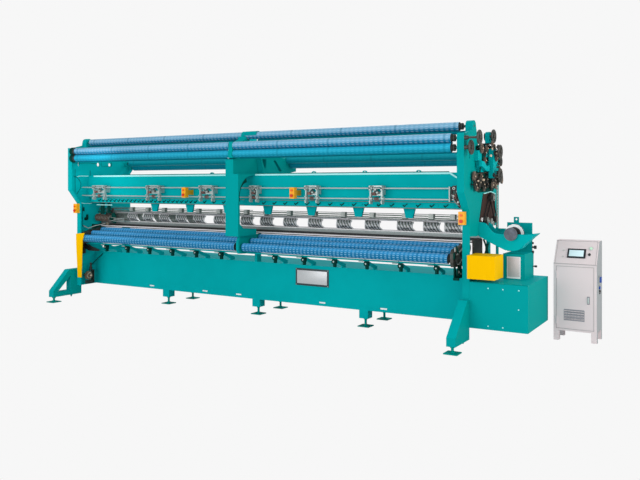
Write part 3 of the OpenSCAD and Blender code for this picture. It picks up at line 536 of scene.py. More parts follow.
def ring(centre, half, outer, inner, sides):
    """Flat ring that reaches half a depth to each side of its centre, in metres; inner 0 gives a disc."""
    piece = rod(centre - half, centre + half, outer, sides)
    if inner:
        cutter = rod(centre - half * 3, centre + half * 3, inner, sides)
        apply_modifier(piece, "BOOLEAN", operation="DIFFERENCE", object=cutter, solver="EXACT")
        bpy.data.objects.remove(cutter)
    return smoothed(piece, 35)


def ring_x(x, y, z, outer, inner, depth, sides=32):
    return ring(mm(x, y, z), Vector((depth / 1000 / 2, 0, 0)), outer / 1000, inner / 1000, sides)


def ring_y(x, y, z, outer, inner, depth, sides=32):
    return ring(mm(x, y, z), Vector((0, depth / 1000 / 2, 0)), outer / 1000, inner / 1000, sides)


def sheet(outline, normal, start, end, width=0.0):
    """Flat plate in mm, its outline across the X or Y axis, bevelled where a width is given."""
    start, end = start / 1000, end / 1000
    corners = [(p / 1000, q / 1000) for p, q in outline]
    corners = [(start, p, q) if normal == "X" else (p, start, q) for p, q in corners]
    piece = from_faces(corners, [tuple(range(len(corners)))])
    edit_all(piece)
    shift = (end - start, 0, 0) if normal == "X" else (0, end - start, 0)
    bpy.ops.mesh.extrude_region_move(TRANSFORM_OT_translate={"value": shift})
    face_outwards(piece)
    return bevelled(piece, width / 1000) if width else piece


def wire(points, radius, x=None):
    """Bent round wire or thin pipe through points in mm, or through points in y and z at one x."""
    curve = bpy.data.curves.new("wire", "CURVE")
    curve.dimensions = "3D"
    curve.bevel_depth = radius / 1000
    curve.bevel_resolution = 1
    curve.use_fill_caps = True
    spline = curve.splines.new("POLY")
    spline.points.add(len(points) - 1)
    for knot, point in zip(spline.points, points):
        knot.co = (*mm(*(point if x is None else (x, *point))), 1)
    pick(linked("wire", curve))
    bpy.ops.object.convert(target="MESH")
    return smoothed(bpy.context.object, 50)


def spring(start, length, radius, turns, thickness, axis="X"):
    """Coil spring from a start point along X or Z."""
    points = []
    for step in range(turns * 8 + 1):
        turn = math.tau * step / 8
        ahead = length * step / (turns * 8)
        swing = (radius * math.cos(turn), radius * math.sin(turn))
        offset = (ahead, *swing) if axis == "X" else (*swing, ahead)
        points.append(tuple(a + b for a, b in zip(start, offset)))
    return wire(points, thickness)


def gear(x, y, z, outer, teeth, depth=12):
    """Toothed wheel with a hub across the X axis; x is its inner face."""
    outline = []
    for tooth in range(teeth):
        for part, reach in ((0.0, 0.9), (0.2, 1.0), (0.5, 1.0), (0.7, 0.9)):
            turn = math.tau * (tooth + part) / teeth
            outline.append((y + outer * reach * math.cos(turn), z + outer * reach * math.sin(turn)))
    hub = pin_x(x - 2, x + depth + 8, y, z, outer * 0.34)
    rim = ring_x(x + depth + 1, y, z, outer * 0.8, outer * 0.62, 3)
    return joined("gear", [sheet(outline, "X", x, x + depth), hub, rim])


def dress(name, pieces, finish, body="machine"):
    """Join pieces to one, and give it its finish and moving body."""
    piece = joined(name, pieces)
    piece.data.materials.clear()
    piece.data.materials.append(finishes[finish])
    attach(piece, body)


def dots(name, places, radius, depth, axis, finish):
    """Screw heads at the places given, standing out along the axis."""
    step = Vector((0, -depth, 0) if axis == "-Y" else (depth, 0, 0))
    dress(name, [shaft(place, Vector(place) + step, radius, 10) for place in places], finish)


# ---- beam and base

def beam_trim():
    """Pale strip painted as the highlight along the beam's upper front edge, with a turned-down end, and the
    ledge above it.
    """
    front, back = BEAM_FRONT - 6, BEAM_FRONT
    rail = [bar((LEFT_IN + 130, front, 1868), (-MID - 4, back, 1888)),
            bar((MID + 4, front, 1868), (2802, back, 1888)),
            sheet([(2800, 1868), (2806, 1888), (2919, 1814), (2975, 1814), (2975, 1800), (2912, 1798)],
                  "Y", front, back)]
    dress("beam_edge_highlight", rail, "edge_pale")
    ledge = [bar((x0, -192, BEAM_TOP), (x1, -184, BEAM_TOP + 15))
             for x0, x1 in ((LEFT_IN + 700, -MID - 4), (MID + 4, 2780))]
    dress("beam_ledge", ledge, "teal_dark")


def beam_hooks():
    """Row of small hooks, closer at the left, and two strips along the set-back lower part of the beam."""
    hook = [(-24, 4), (-8, -12), (26, 16), (32, 8), (-8, -26), (-30, -8)]
    hooks = [sheet([(x + p, 1512 + q) for p, q in hook], "Y", LOWER_FRONT - 9, LOWER_FRONT)
             for x in [*range(-2890, -1000, 84), *range(-958, 2990, 168)] if abs(x) > MID + 40]
    dress("beam_hooks", hooks, "teal_deep")
    strips = [bar((x0, LOWER_FRONT - 6, z), (x1, LOWER_FRONT, z + h))
              for x0, x1 in ((LEFT_IN + 10, -MID - 2), (MID + 2, RIGHT_IN - 8))
              for z, h in ((1470, 7), (1544, 6))]
    dress("beam_strips", strips, "gear_brown")


def name_plate():
    """Bare plate in a dark frame on the front of the base."""
    dress("plate_rim", [bevelled(bar((640, -66, 448), (1136, -60, 668)), 0.002)], "plate_dark")
    dress("plate_pane", [bevelled(bar((664, -69, 474), (1112, -65, 644)), 0.001)], "plate_grey")
    screws = [(x, -66, z) for x in (652, 1124) for z in (460, 656)]
    dots("plate_screws", screws, 5, 4, "-Y", "plated_steel")


def base_trim():
    """Inserts in the slots of the base and the dark adjusters of the roller brackets."""
    inserts = [bar((x - 44, -57, 238), (x + 44, -55, 256)) for x in (-1909, -889, -294, 1038, 1900)]
    dress("slot_inserts", inserts, "white_plastic")
    dark, pale = [], []
    bracket_pitch = 440
    for step in [*range(-6, 0), *range(1, 7)]:
        x = step * bracket_pitch + 34
        dark += [bar((x - 28, -318, 786), (x + 24, -270, 836)), bar((x - 20, -300, 742), (x + 10, -262, 790)),
                 ring_y(x, -321, 812, 30, 12, 8, 20)]
        pale += [pin_y(x, -330, -316, 812, 10, 6), pin_x(x - 104, x - 42, -306, 838, 8, 8)]
    dress("bracket_adjusters", dark, "teal_deep")
    dress("bracket_nuts", pale, "plated_steel")


# ---- guide rods and needle zone

def clamp_trim():
    """Bolts, washers and springs of the rod clamps, with dark collars and blocks between their strips."""
    bolts, springs, dark = [], [], []
    for first, last in CLAMPS:
        for x in (first, last):
            bolts += [pin_y(x, -372, -360, z, 9, 6) for z in (1548, 1600, 1690, 1726)]
            for z, half, radius in zip(ROD_Z, (22, 20), (19, 18)):
                dark.append(pin_x(x - half, x + half, CLAMP_Y, z, radius, 20))
                bolts.append(ring_x(x + 18, CLAMP_Y, z, 23, 15, 8, 20))
        middle = (first + last) / 2
        springs += [spring((middle - 30, CLAMP_Y, ROD_Z[1]), 60, 19, 5, 4),
                    spring((first + 22, -338, 1640), 44, 15, 5, 4)]
        dark += [pin_y(middle + 14, -345, -322, 1655, 19, 20),
                 bar((middle - 34, -330, 1676), (middle - 8, -312, 1716))]
        bolts += [pin_y(middle + 14, -352, -345, 1655, 9, 6), ring_y(middle - 20, -334, 1696, 15, 7, 8, 20)]
    dress("clamp_bolts", bolts, "plated_steel")
    dress("clamp_springs", springs, "copper_red")
    dress("clamp_blocks", dark, "rail_steel")


def rod_end_unit():
    """Levers, springs and bolts at the drive end of the guide rods, in front of their plate."""
    x = 2846
    dark = [ring_y(x + 54, -359, 1708, 30, 12, 14), ring_y(x + 92, -362, 1672, 24, 9, 20),
            ring_y(x + 48, -359, 1622, 27, 11, 14), bar((x + 20, -364, 1590), (x + 34, -352, 1700)),
            ring_y(x + 104, -360, 1556, 32, 10, 16),
            sheet([(x + 60, 1600), (x + 86, 1610), (x + 140, 1512), (x + 118, 1496)], "Y", -366, -354)]
    pale = [bar((x - 6, -364, 1562), (x + 6, -358, 1726)), ring_y(x + 54, -369, 1708, 16, 8, 6, 20),
            ring_y(x + 48, -369, 1622, 13, 0, 8, 20), pin_y(x + 92, -376, -370, 1672, 8, 12),
            wire([(x + 30, -372, 1640), (x + 70, -374, 1560), (x + 120, -372, 1512)], 5),
            pin_y(x + 104, -376, -368, 1556, 12, 12)]
    dress("end_levers", dark, "black_iron")
    dress("end_bolts", pale, "clamp_grey")
    dress("end_spring", [spring((x + 76, -370, 1590), 56, 12, 5, 4, "Z")], "copper_red")


def column_arc_shade():
    """Dark sheet painted as the shade along the curved edge on the drive side of the middle column."""
    y, z = COLUMN_ARC
    turns = [math.radians(116 + 7 * step) for step in range(12)]
    outline = [(y + 274 * math.cos(turn), z + 274 * math.sin(turn)) for turn in turns]
    outline += [(y + 262 * math.cos(turn), z + (262 - 66 * math.sin(turn) ** 2) * math.sin(turn))
                for turn in turns[::-1]]
    dress("column_arc_shade", [sheet(outline, "X", MID, MID + 2)], "teal_deep")


def station_lever():
    """Pale lever beside the push-button station of the right frame."""
    lever = shaft((2977, -250, 1492), (2977, -250, 1562), 8, 10)
    dress("station_lever", [lever], "white_plastic")


def arm_outline(x, half, reach=57, lean=0.0):
    """Curved arm from the swing shaft to the guide bar, 2 * half thick across X and leaning along it."""
    y, z = SWING_SHAFT
    turns = [math.radians(92 + 14.2 * step) for step in range(13)]
    outline = [(y + r * math.cos(turn), z + r * math.sin(turn))
               for r, run in ((reach, turns), (reach - 20, turns[::-1])) for turn in run]
    arm = sheet(outline, "X", x - half, x + half)
    for vertex in arm.data.vertices:
        vertex.co.x += lean * (vertex.co.z - z / 1000)
    return arm


def side_arms():
    """Thinner arms beside each group and close rows at the pattern end, riding on the guide bar; pale and
    dark arms alternate as painted highlight and painted shade.
    """
    lean = -0.6
    pale, dark = [], []
    for x in GROUP_X:
        for step, offset in enumerate((-106, -88, -70, 70, 88)):
            # pale and dark arms alternate: painted highlight and painted shade
            (dark if step % 2 else pale).append(arm_outline(x + offset, 4))
        pale += [arm_outline(x + offset, 5, 61, lean) for offset in range(-80, 90, 40)]
        dark += [arm_outline(x + offset, 6, 60, lean) for offset in range(-60, 90, 40)]
    for x in range(-2960, -1010, 24):
        if min(abs(x - group) for group in GROUP_X) > 112:
            (dark if x % 48 else pale).append(arm_outline(x, 6, 60, lean))
    dress("side_arms_highlit", pale, "plate_grey", "guide_bar_body")
    dress("side_arms_shaded", dark, "rail_steel", "guide_bar_body")


def rail_trim():
    """Pale clamps and thin control rods along the rail above the guide arms."""
    pale, thin = [], []
    for x in GROUP_X:
        pale += [bar((x - 30, -8, 1346), (x + 30, 0, 1402)), bar((x - 12, -14, 1360), (x + 14, -6, 1390))]
        pale += [ring_y(x + s * 24, -10, 1372, 9, 0, 8, 6) for s in (-1, 1)]
    for z, y in ((1398, 10), (1336, 6)):
        thin += [pin_x(LEFT_IN + 160, -MID, y, z, 4, 8), pin_x(MID, RIGHT_IN - 20, y, z, 4, 8)]
    dress("rail_clamps", pale, "clamp_grey")
    dress("control_rods", thin, "rail_steel")


def arm_trim():
    """Dark spacers and end screws between the curved arms, riding on the guide bar."""
    spacers = [pin_x(x + offset - 5, x + offset + 5, 26, 1222, 9, 8)
               for x in GROUP_X for offset in range(-40, 60, 20)]
    screws = [pin_x(x - 62, x + 62, 60, 1296, 6, 8) for x in GROUP_X]
    dress("arm_spacers", spacers, "black_iron", "guide_bar_body")
    dress("arm_screws", screws, "plated_steel", "guide_bar_body")


def needle_comb():
    """Thin needles side by side on the needle bar, left and right of the middle column."""
    pitch, width, y, z0, z1 = 12, 3, 40, 1162, 1184
    starts = []
    for x0, x1 in ((LEFT_IN + 40, -MID - 6), (MID + 6, RIGHT_IN - 30)):
        starts += [x0 + pitch * step for step in range(int((x1 - x0) / pitch))]
    corners = [mm(*corner) for x in starts
               for corner in ((x, y, z0), (x + width, y, z0), (x + width, y, z1), (x, y, z1))]
    comb = from_faces(corners, [tuple(range(4 * n, 4 * n + 4)) for n in range(len(starts))])
    apply_modifier(comb, "SOLIDIFY", thickness=0.002, offset=1.0)
    face_outwards(comb)
    dress("needles", [comb], "plated_steel", "needle_bar_body")


# ---- left end

def roller_gap_fillers():
    """Teal tubes and a strip set close below the front feed rollers as painted shade in the gaps between
    them, and dark bearings at their left ends.
    """
    # dark teal pieces in the roller gaps: painted shade between the feed rollers
    tubes = [pin_x(x0, x1, -262, 2324, 20) for x0, x1 in ((-3040, -18), (186, 3009))]
    tubes += [bar((x0, -538, 2188), (x1, -530, 2203)) for x0, x1 in ((-2950, -MID - 4), (MID + 4, 2949))]
    tubes += [pin_x(x0, x1, -546, 2088, 7) for x0, x1 in ((-3040, -MID - 2), (MID + 2, 3009))]
    dress("yarn_tubes", tubes, "teal_tube")
    apron = bar((72, -300, 2290), (186, -292, 2344))
    dress("coupling_apron", [apron], "machine_paint")
    caps = []
    for z in (2247, 2144):
        caps += [ring_x(-3016, -566, z, 60, 53, 50), bar((-3040, -546, z - 58), (-2996, -476, z + 40))]
    dress("roller_bearings", caps, "teal_deep")


def left_inner_face():
    """Dark lines of painted shade along edges and flanges, a handle, and pale strips of painted edge
    highlight on the inner face of the left end frame.
    """
    x = LEFT_IN
    wide = [[(-503, 1882), (-440, 1862), (-385, 1815), (-360, 1760), (-366, 1700), (-400, 1650),
             (-443, 1601)],
            [(-182, 1970), (-182, 1497)], [(-470, 1985), (-470, 1630)], [(-330, 1440), (-330, 1110)]]
    fine = [[(-540, 2080), (-450, 2074), (-200, 2084), (-60, 2078)],
            [(40, 2110), (40, 2040), (250, 2040), (250, 2110)]]
    # dark lines of painted shade along the frame's edges and flanges
    seams = [wire(points, radius, x) for radius, lines in ((4, wide), (3, fine)) for points in lines]
    seams.append(wire([(-2944, -63, 675), (-3020, -108, 590), (x + 2, -145, 502)], 7))
    dress("inner_edge_shade", seams, "teal_deep")
    handle = [bar((x, -300, 1206), (x + 20, -236, 1228)), bar((x, -262, 1226), (x + 24, -238, 1286)),
              ring_x(x + 10, -268, 1222, 26, 10, 20), bar((x, -330, 1340), (x + 12, -300, 1400)),
              bar((x, -500, 2105), (x + 14, -470, 2140))]
    dress("inner_handle", handle, "teal_deep")
    # pale strips of painted edge highlight
    pale = [wire([(-432, 1872), (-380, 1880), (-219, 1880)], 5, x + 3),
            wire([(-350, 1466), (-300, 1458), (-150, 1455)], 5, x + 3),
            bar((-2946, LOWER_FRONT - 9, 1432), (-2613, LOWER_FRONT - 3, 1442))]
    dress("inner_edge_highlights", pale, "edge_pale")


def left_drive():
    """Rim and hub of the worm wheel, its post and foot, and the lever below the first take-up roller."""
    y, z = WORM
    rim = [ring_x(-2986, y, z, 60, 46, 5), ring_x(-2972, y, z, 28, 15, 6)]
    dress("worm_rim", rim, "gear_brown", "worm_wheel_body")
    hub = [ring_x(-2986, y, z, 44, 35, 4), ring_x(-2947, y, z, 15, 0, 6)]
    dress("worm_hub", hub, "beige", "worm_wheel_body")
    dark = [shaft((-3004, -250, 425), (-3004, -250, 545), 15),
            shaft((-3004, -250, 440), (-3004, -250, 480), 24),
            bar((-3030, -336, 232), (-2968, -240, 280)), bar((-3040, -216, 240), (-2976, -204, 440)),
            bar((-3040, -262, 425), (-2976, -204, 440))]
    dress("worm_post", dark, "oiled")
    lever = [sheet([(-3090, 846), (-2960, 812), (-2735, 752), (-2800, 738), (-2990, 736), (-3060, 766),
                    (-3096, 800)], "Y", -304, -288),
             ring_y(-2990, -306, 790, 44, 18, 10), bar((-3092, -330, 690), (-3070, -290, 900))]
    dress("takeup_lever", lever, "black_iron")


def left_shogging():
    """Pattern discs, push rods and brackets at the left end of the guide bars."""
    brown, pale, dark = [], [], []
    for step, x in enumerate(range(-3040, -2760, 34)):
        brown.append(ring_x(x, -78, 1238 - 2 * step, 56, 20, 14, 40))
        pale.append(ring_x(x + 12, -78, 1238 - 2 * step, 44, 36, 4, 40))
    pale += [shaft((-2860, -90, 1200 + 22 * s), (-2500, -40, 1176 + 22 * s), 6, 8) for s in range(3)]
    pale += [wire([(-3080, -330, 1120), (-3000, -300, 1080), (-2900, -250, 1120), (-2780, -160, 1150)], 6),
             ring_y(-2835, -60, 1146, 18, 8, 10)]
    dark += [shaft((-3070, -78, 1236), (-2700, -78, 1220), 14), bar((-3096, -150, 1040), (-3020, -40, 1130)),
             sheet([(-2760, 1300), (-2700, 1320), (-2640, 1200), (-2680, 1150), (-2780, 1180)],
                   "Y", -60, -44),
             bar((-3000, -60, 1290), (-2930, -40, 1520)), bar((-2850, -60, 1330), (-2800, -40, 1500)),
             bar((-3050, -66, 1310), (-2760, -40, 1330))]
    dress("pattern_discs", brown, "gear_brown")
    dress("push_rods", pale, "clamp_grey")
    dress("shog_brackets", dark, "teal_deep")
    eye = [ring_y(-2835, -66, 1146, 26, 16, 10), ring_y(-2990, -84, 1290, 16, 6, 10)]
    dress("rod_eyes", eye, "bronze")


# ---- drive end of the frame

def tangents(first, r1, second, r2):
    """Places along both runs of a chain round two wheels, in y and z."""
    (y1, z1), (y2, z2) = first, second
    span = math.hypot(y2 - y1, z2 - z1)
    heading = math.atan2(z2 - z1, y2 - y1)
    lean = math.acos((r1 - r2) / span)
    places = []
    for side in (-1, 1):
        turn = heading + side * lean
        start = (y1 + r1 * math.cos(turn), z1 + r1 * math.sin(turn))
        end = (y2 + r2 * math.cos(turn), z2 + r2 * math.sin(turn))
        count = int(span / CHAIN_PITCH)
        for step in range(count + 1):
            share = step / count
            places.append((start[0] + (end[0] - start[0]) * share, start[1] + (end[1] - start[1]) * share))
    return places


def chain_pins():
    """Rollers of the three feed chains: inner face x, then axis and radius of each wheel."""
    runs = [(3096, (560, 2094), 54, (100, 2296), 36), (3118, (650, 2028.6), 54, (157, 2124), 36),
            (3096, (-200, 1772), 95, (157, 1852), 36)]
    pins = []
    for x, first, r1, second, r2 in runs:
        pins += [pin_x(x - 2, x + 13, y, z, 6, 8) for y, z in tangents(first, r1, second, r2)]
    dress("chain_pins", pins, "gear_brown")


# change gears on the drive-end frame: inner face x, axis y and z, radius, teeth
UPPER_GEARS = [
    (3142, -160, 2150, 56, 22), (3146, -66, 2106, 44, 18), (3142, 18, 2158, 42, 18),
    (3204, 92, 2176, 34, 14), (3204, 20, 2206, 36, 16), (3142, 262, 2160, 46, 20),
    (3146, 344, 2120, 42, 18), (3142, 300, 2052, 48, 20), (3204, 176, 2052, 40, 18),
    (3204, 116, 2104, 30, 14), (3142, -52, 2020, 40, 18), (3208, 226, 2180, 28, 14)]
LOWER_GEARS = [
    (3112, -330, 1838, 58, 24), (3130, -352, 1750, 46, 20), (3112, -262, 1716, 40, 18),
    (3128, -200, 1772, 58, 24), (3112, -92, 1840, 44, 18), (3132, -74, 1752, 52, 22),
    (3112, 14, 1716, 42, 18), (3130, 36, 1808, 44, 18), (3206, 130, 1744, 46, 20),
    (3112, 130, 1752, 44, 20), (3204, 20, 1744, 36, 16), (3130, 262, 1772, 54, 22),
    (3204, 282, 1850, 48, 20), (3112, 282, 1716, 34, 16), (3130, 372, 1830, 52, 22),
    (3114, 392, 1744, 40, 18), (3130, 474, 1780, 42, 18), (3130, 470, 1872, 36, 16),
    (3204, 350, 1900, 34, 16)]


def gear_clusters():
    """Change gears with pale caps, on short shafts outside the drive-end frame."""
    for name, wheels in (("upper", UPPER_GEARS), ("lower", LOWER_GEARS)):
        for tone, picked in (("gear_brown", wheels[::2]), ("oiled", wheels[1::2])):
            dress(f"{name}_gears_{tone[:5]}", [gear(*wheel) for wheel in picked], tone)
        caps = [(x + 20, y, z) for x, y, z, *_ in wheels]
        dots(name + "_gear_caps", caps, 9, 4, "+X", "beige")
        shafts = [pin_x(RIGHT, x, y, z, 8, 10) for x, y, z, *_ in wheels]
        dress(name + "_gear_shafts", shafts, "black_iron")


def gear_brackets():
    """Curved castings, black plates, a slotted link, a hand lever and pinch blocks among the gears."""
    teal = [sheet([(-232, 2010), (-150, 2004), (-60, 1950), (10, 1966), (60, 1930), (40, 1902), (-60, 1896),
                   (-160, 1930), (-240, 1950)], "X", 3136, 3176, 3),
            sheet([(236, 2020), (330, 2060), (400, 2050), (396, 2010), (330, 1980), (300, 1910), (240, 1916)],
                  "X", 3100, 3160, 3)]
    dress("gear_castings", teal, "machine_paint")
    black = [sheet([(-250, 1700), (-120, 1660), (420, 1676), (470, 1730), (500, 1900), (380, 1940),
                    (-60, 1910), (-260, 1880)], "X", RIGHT + 1, RIGHT + 7),
             sheet([(-200, 2026), (-60, 2010), (380, 2030), (400, 2190), (250, 2214), (-60, 2200),
                    (-210, 2170)], "X", RIGHT + 1, RIGHT + 5),
             sheet([(-182, 1990), (-214, 1890), (-190, 1886), (-160, 1980)], "X", 3136, 3142)]
    dress("gear_plates", black, "teal_deep")
    link = [sheet([(-20, 1852), (10, 1862), (190, 1800), (176, 1776), (150, 1782)], "X", 3228, 3238),
            ring_x(3233, 0, 1856, 22, 10, 16, 24), ring_x(3233, 168, 1790, 24, 12, 16, 24)]
    dress("slotted_link", link, "black_iron")
    grip = [(3152, 470, 1960), (3156, 520, 1910), (3158, 560, 1850), (3158, 572, 1800), (3156, 556, 1764)]
    lever = [wire(grip, 15), pin_x(RIGHT, 3156, 474, 1955, 11)]
    dress("hand_lever", lever, "gear_brown")
    blocks = [bar((3196, 34, 2140), (3208, 62, 2166)), bar((3158, 196, 2122), (3176, 226, 2150)),
              bar((3140, -130, 1790), (3160, -96, 1812)), bar((3196, 230, 1784), (3214, 262, 1806)),
              bar((3140, 320, 1764), (3158, 350, 1784)), bar((3196, -30, 2060), (3212, 0, 2084)),
              bar((3140, -300, 1780), (3156, -276, 1798)), bar((3140, 420, 1836), (3158, 446, 1856))]
    dress("pinch_blocks", [bevelled(piece, 0.002) for piece in blocks], "beige")


def pulley_trim():
    """Rims and hubs of the pulleys, the tensioner, a strap with holes and a painted highlight along the
    guard's edge.
    """
    for name, face, y, z, radius in (("main", 3165, 238, 1600, 46), ("jack", 3155, 40, 1350, 37),
                                     ("side", 3155, 392, 1346, 37)):
        hub = [ring_x(face + 3, y, z, 17, 6, 8), ring_x(face + 1, y, z, radius * 0.86, radius * 0.66, 4)]
        dress(name + "_hub", hub, "clamp_grey", name + "_shaft_body")
    rollers = [(150, 1318, 30, 12), (262, 1326, 34, 12), (318, 1300, 26, 10)]
    grey = [ring_x(3126, y, z, outer, inner, 14) for y, z, outer, inner in rollers]
    grey.append(sheet([(120, 1290), (330, 1280), (340, 1306), (130, 1312)], "X", 3100, 3112))
    dress("tensioner", grey, "clamp_grey")
    studs = [pin_x(3099, 3122, y, z, 8) for y, z, *_ in rollers]
    dress("tensioner_studs", studs, "oiled")
    dress("guard_plug", [ring_x(3104, -20, 1356, 22, 8, 10)], "white_plastic")
    strap = [bar((RIGHT, 566, 1239), (RIGHT + 6, 606, 1721))]
    dress("frame_strap", strap, "clamp_grey")
    holes = [(RIGHT + 6, 586, z) for z in range(1255, 1715, 34)]
    dots("strap_holes", holes, 9, 2, "+X", "gear_brown")
    # pale strip painted as the highlight along the guard's edge
    edge = sheet([(48, 1652), (300, 1672), (490, 1644), (490, 1636), (300, 1663), (53, 1642)],
                 "X", 3099, 3106)
    dress("guard_edge_highlight", [edge], "edge_pale")


def window_trim():
    """Black cover plate and crossed levers seen through the frame's window."""
    dress("window_cover", [bevelled(bar((3075, -247, 748), (3079, 75, 1135)), 0.002)], "black_iron")
    falling = [(104, 1120), (170, 1060), (214, 1011), (262, 950), (330, 880)]
    rising = [(315, 1110), (250, 1050), (214, 1011), (150, 950), (110, 880)]
    levers = [wire(falling, 12, 3084), wire(rising, 12, 3084), ring_x(3084, 214, 1011, 34, 12, 16),
              bar((3074, 180, 860), (3088, 250, 900))]
    dress("window_levers", levers, "teal_deep")


def takeup_drive():
    """Chain, cover plate and levers at the drive end of the take-up rollers."""
    links = []
    for first, second in zip(TAKEUP_AXES, TAKEUP_AXES[1:]):
        links += [pin_x(2945, 2961, y, z, 6, 8) for y, z in tangents(first, 57, second, 56.9)]
    dress("takeup_chain", links, "clamp_grey")
    green = [sheet([(-462, 714), (-462, 860), (-420, 850), (-380, 714)], "X", 2930, 2942),
             sheet([(-380, 714), (-330, 860), (-230, 850), (-180, 714)], "X", 2930, 2940),
             ring_x(2968, -420, 800, 46, 20, 14), ring_x(2956, -320, 770, 38, 14, 14),
             bar((2930, -474, 712), (2990, -440, 740)), bar((2930, -476, 940), (2944, -452, 1010)),
             wire([(2962, -462, 1090), (2966, -440, 1050), (2960, -400, 1010), (2960, -380, 1000)], 9)]
    dress("takeup_cover", green, "teal_deep")
    pale = [ring_x(2977, -420, 800, 14, 0, 6), ring_x(2966, -320, 770, 12, 0, 6),
            bar((2944, -470, 1022), (2950, -440, 1072))]
    dress("takeup_caps", pale, "clamp_grey")


def housing_trim():
    """White-rimmed plate, knobs, screws and seams of the drum housing and drive box, and the drum's front."""
    dress("housing_rim", [bevelled(bar((3380, -4, 715), (3529, 0, 954)), 0.001)], "white_plastic")
    dress("housing_pane", [bevelled(bar((3392, -7, 734), (3522, -3, 949)), 0.001)], "pane_rose")
    knobs = [pin_x(3571, 3590, 336, 986, 16, 20), pin_x(3571, 3586, 342, 1086, 12, 20)]
    for x, y, z, size in ((3571, 340, 1040, 20), (3576, 346, 824, 12)):
        knobs += [pin_x(x, x + 26, y, z, size * 0.5), pin_x(x + 20, x + 46, y, z, size, 20)]
    dress("housing_knobs", knobs, "knob_black")
    # screw heads in the pale colour of the painted edge highlights
    screws = [(3296, -409, 647), (3454, -409, 644), (3622, -409, 647), (3619, -409, 445), (3296, -409, 244),
              (3454, -409, 243)]
    dots("box_screws", screws, 7, 4, "-Y", "edge_pale")
    seam = [bar((3336, -3, 984), (3571, 0, 988)), bar((RIGHT + 1, -411, 700), (3714, -409, 704))]
    dress("housing_seams", seam, "teal_dark")
    x, z = DRUM
    rim = ring_y(x, 3, z, 103, 74, 5, 64)
    dress("drum_ring", [rim], "white_plastic", "pattern_drum_body")
    dress("drum_disc", [ring_y(x, -2, z, 66, 14, 10, 48)], "oiled", "pattern_drum_body")


def pattern_chain():
    """Link chain hanging in the tray below the drum."""
    links = []
    for step in range(15):
        turn = math.radians(200 + 10 * step)
        x, z = DRUM[0] + 96 * math.cos(turn), DRUM[1] + 96 * math.sin(turn)
        links.append(bar((x - 10, -90, z - 7), (x + 10, 50, z + 7)))
    dress("pattern_links", links, "oiled")


# ---- cabinet

def on_panel(piece, across, up):
    """Move a piece, modelled facing -Y round the origin, to its place on the sloping panel."""
    left, front, sill = CABINET
    place = (Matrix.Translation(mm(left, front, sill)) @ Matrix.Rotation(-PANEL_LEAN, 4, "X")
             @ Matrix.Translation(mm(across, 0, up)))
    piece.data.transform(place)
    return piece


def cabinet_panel():
    """Glass of the screen, lamp, escutcheons and the border of the sloping panel."""
    glass = on_panel(bevelled(bar((-80, -11, -40), (76, -8, 40)), 0.001), 235, 137)
    dress("screen_pane", [glass], "screen_glass")
    bezels = [on_panel(ring_y(0, -3, 0, 24, 14, 6), 384, 208),
              on_panel(ring_y(0, -3, 0, 17, 9, 5), 372, 128)]
    dress("panel_bezels", bezels, "plate_grey")
    dress("panel_lamp", [on_panel(ring_y(0, -5, 0, 14, 0, 10), 384, 208)], "lamp_green")
    lines = [on_panel(bar((w, -1.5, 8), (w + 4, 0.5, 300)), 0, 0) for w in (14, CABINET_WIDTH - 18)]
    lines += [on_panel(bar((2, -1.5, h), (CABINET_WIDTH - 2, 0.5, h + 4)), 0, 0) for h in (2, 298)]
    dress("panel_border", lines, "cabinet_shade")


def cabinet_front():
    """Seams round the door, vent louvres and lock rosette."""
    left, front, sill = CABINET
    right = left + CABINET_WIDTH
    x0, x1, z0, z1 = left + 36, right - 36, 140, sill - 32
    seams = [bar((low_x, front - 1.5, low_z), (high_x, front, high_z)) for low_x, low_z, high_x, high_z in (
        (x0 - 7, z0 - 7, x0 - 2, z1 + 7), (x1 + 2, z0 - 7, x1 + 7, z1 + 7), (x0 - 7, z1 + 2, x1 + 7, z1 + 7),
        (x0 - 7, z0 - 7, x1 + 7, z0 - 2), (left + 2, sill - 4, right - 2, sill))]
    dress("door_seams", seams, "cabinet_shade")
    slats = [bar((left + 118, front - 2, z), (left + 327, front, z + 14)) for z in range(230, 350, 28)]
    slats += [bar((x, front - 2, 228), (x + 6, front, 353)) for x in (left + 112, left + 327)]
    slats += [bar((x, front - 1.5, 236), (x + 3, front, 350)) for x in range(left + 150, left + 320, 34)]
    dress("vent_louvres", slats, "vent_grey", "door_body")
    back = bar((left + 116, front + 2.2, 230), (left + 329, front + 5, 352))
    dress("vent_mesh", [back], "vent_dark", "door_body")
    rose = [bar((left + 360, front - 2, 424), (left + 388, front, 512)),
            ring_y(left + 374, front - 3, 494, 10, 5, 6, 20)]
    dress("lock_plate", rose, "vent_grey", "door_body")


def cabinet_side():
    """Sockets' bezels and the dark cable gland on the drive side of the cabinet."""
    x = CABINET[0] + CABINET_WIDTH
    pale = [bar((x, 552, 650), (x + 8, 618, 730)), ring_x(x + 7, 590, 600, 24, 18, 12)]
    dress("socket_bezels", pale, "clamp_grey")
    dark = [ring_x(x + 7, 592, 560, 12, 5, 14), ring_x(x + 5, 596, 536, 9, 0, 10)]
    dress("cable_glands", dark, "knob_black")


for build in (beam_trim, beam_hooks, name_plate, base_trim, clamp_trim, rod_end_unit, column_arc_shade,
              station_lever, rail_trim, arm_trim, needle_comb, side_arms, roller_gap_fillers, left_inner_face,
              left_drive, left_shogging, chain_pins, gear_clusters, gear_brackets, pulley_trim, window_trim,
              takeup_drive, housing_trim, pattern_chain, cabinet_panel, cabinet_front, cabinet_side):
    build()


# ---- stage, light and camera

BACKGROUND = (*srgb(247, 247, 247), 1.0)  # what the camera sees round the machine
SKY_STRENGTH = 0.55
EYE = (5.588, -7.7175, 1.75)  # camera place in metres, level
EYE_TURN = 30.9  # degrees off the front's normal
LENS, LENS_SHIFT = 39.43, -0.0867


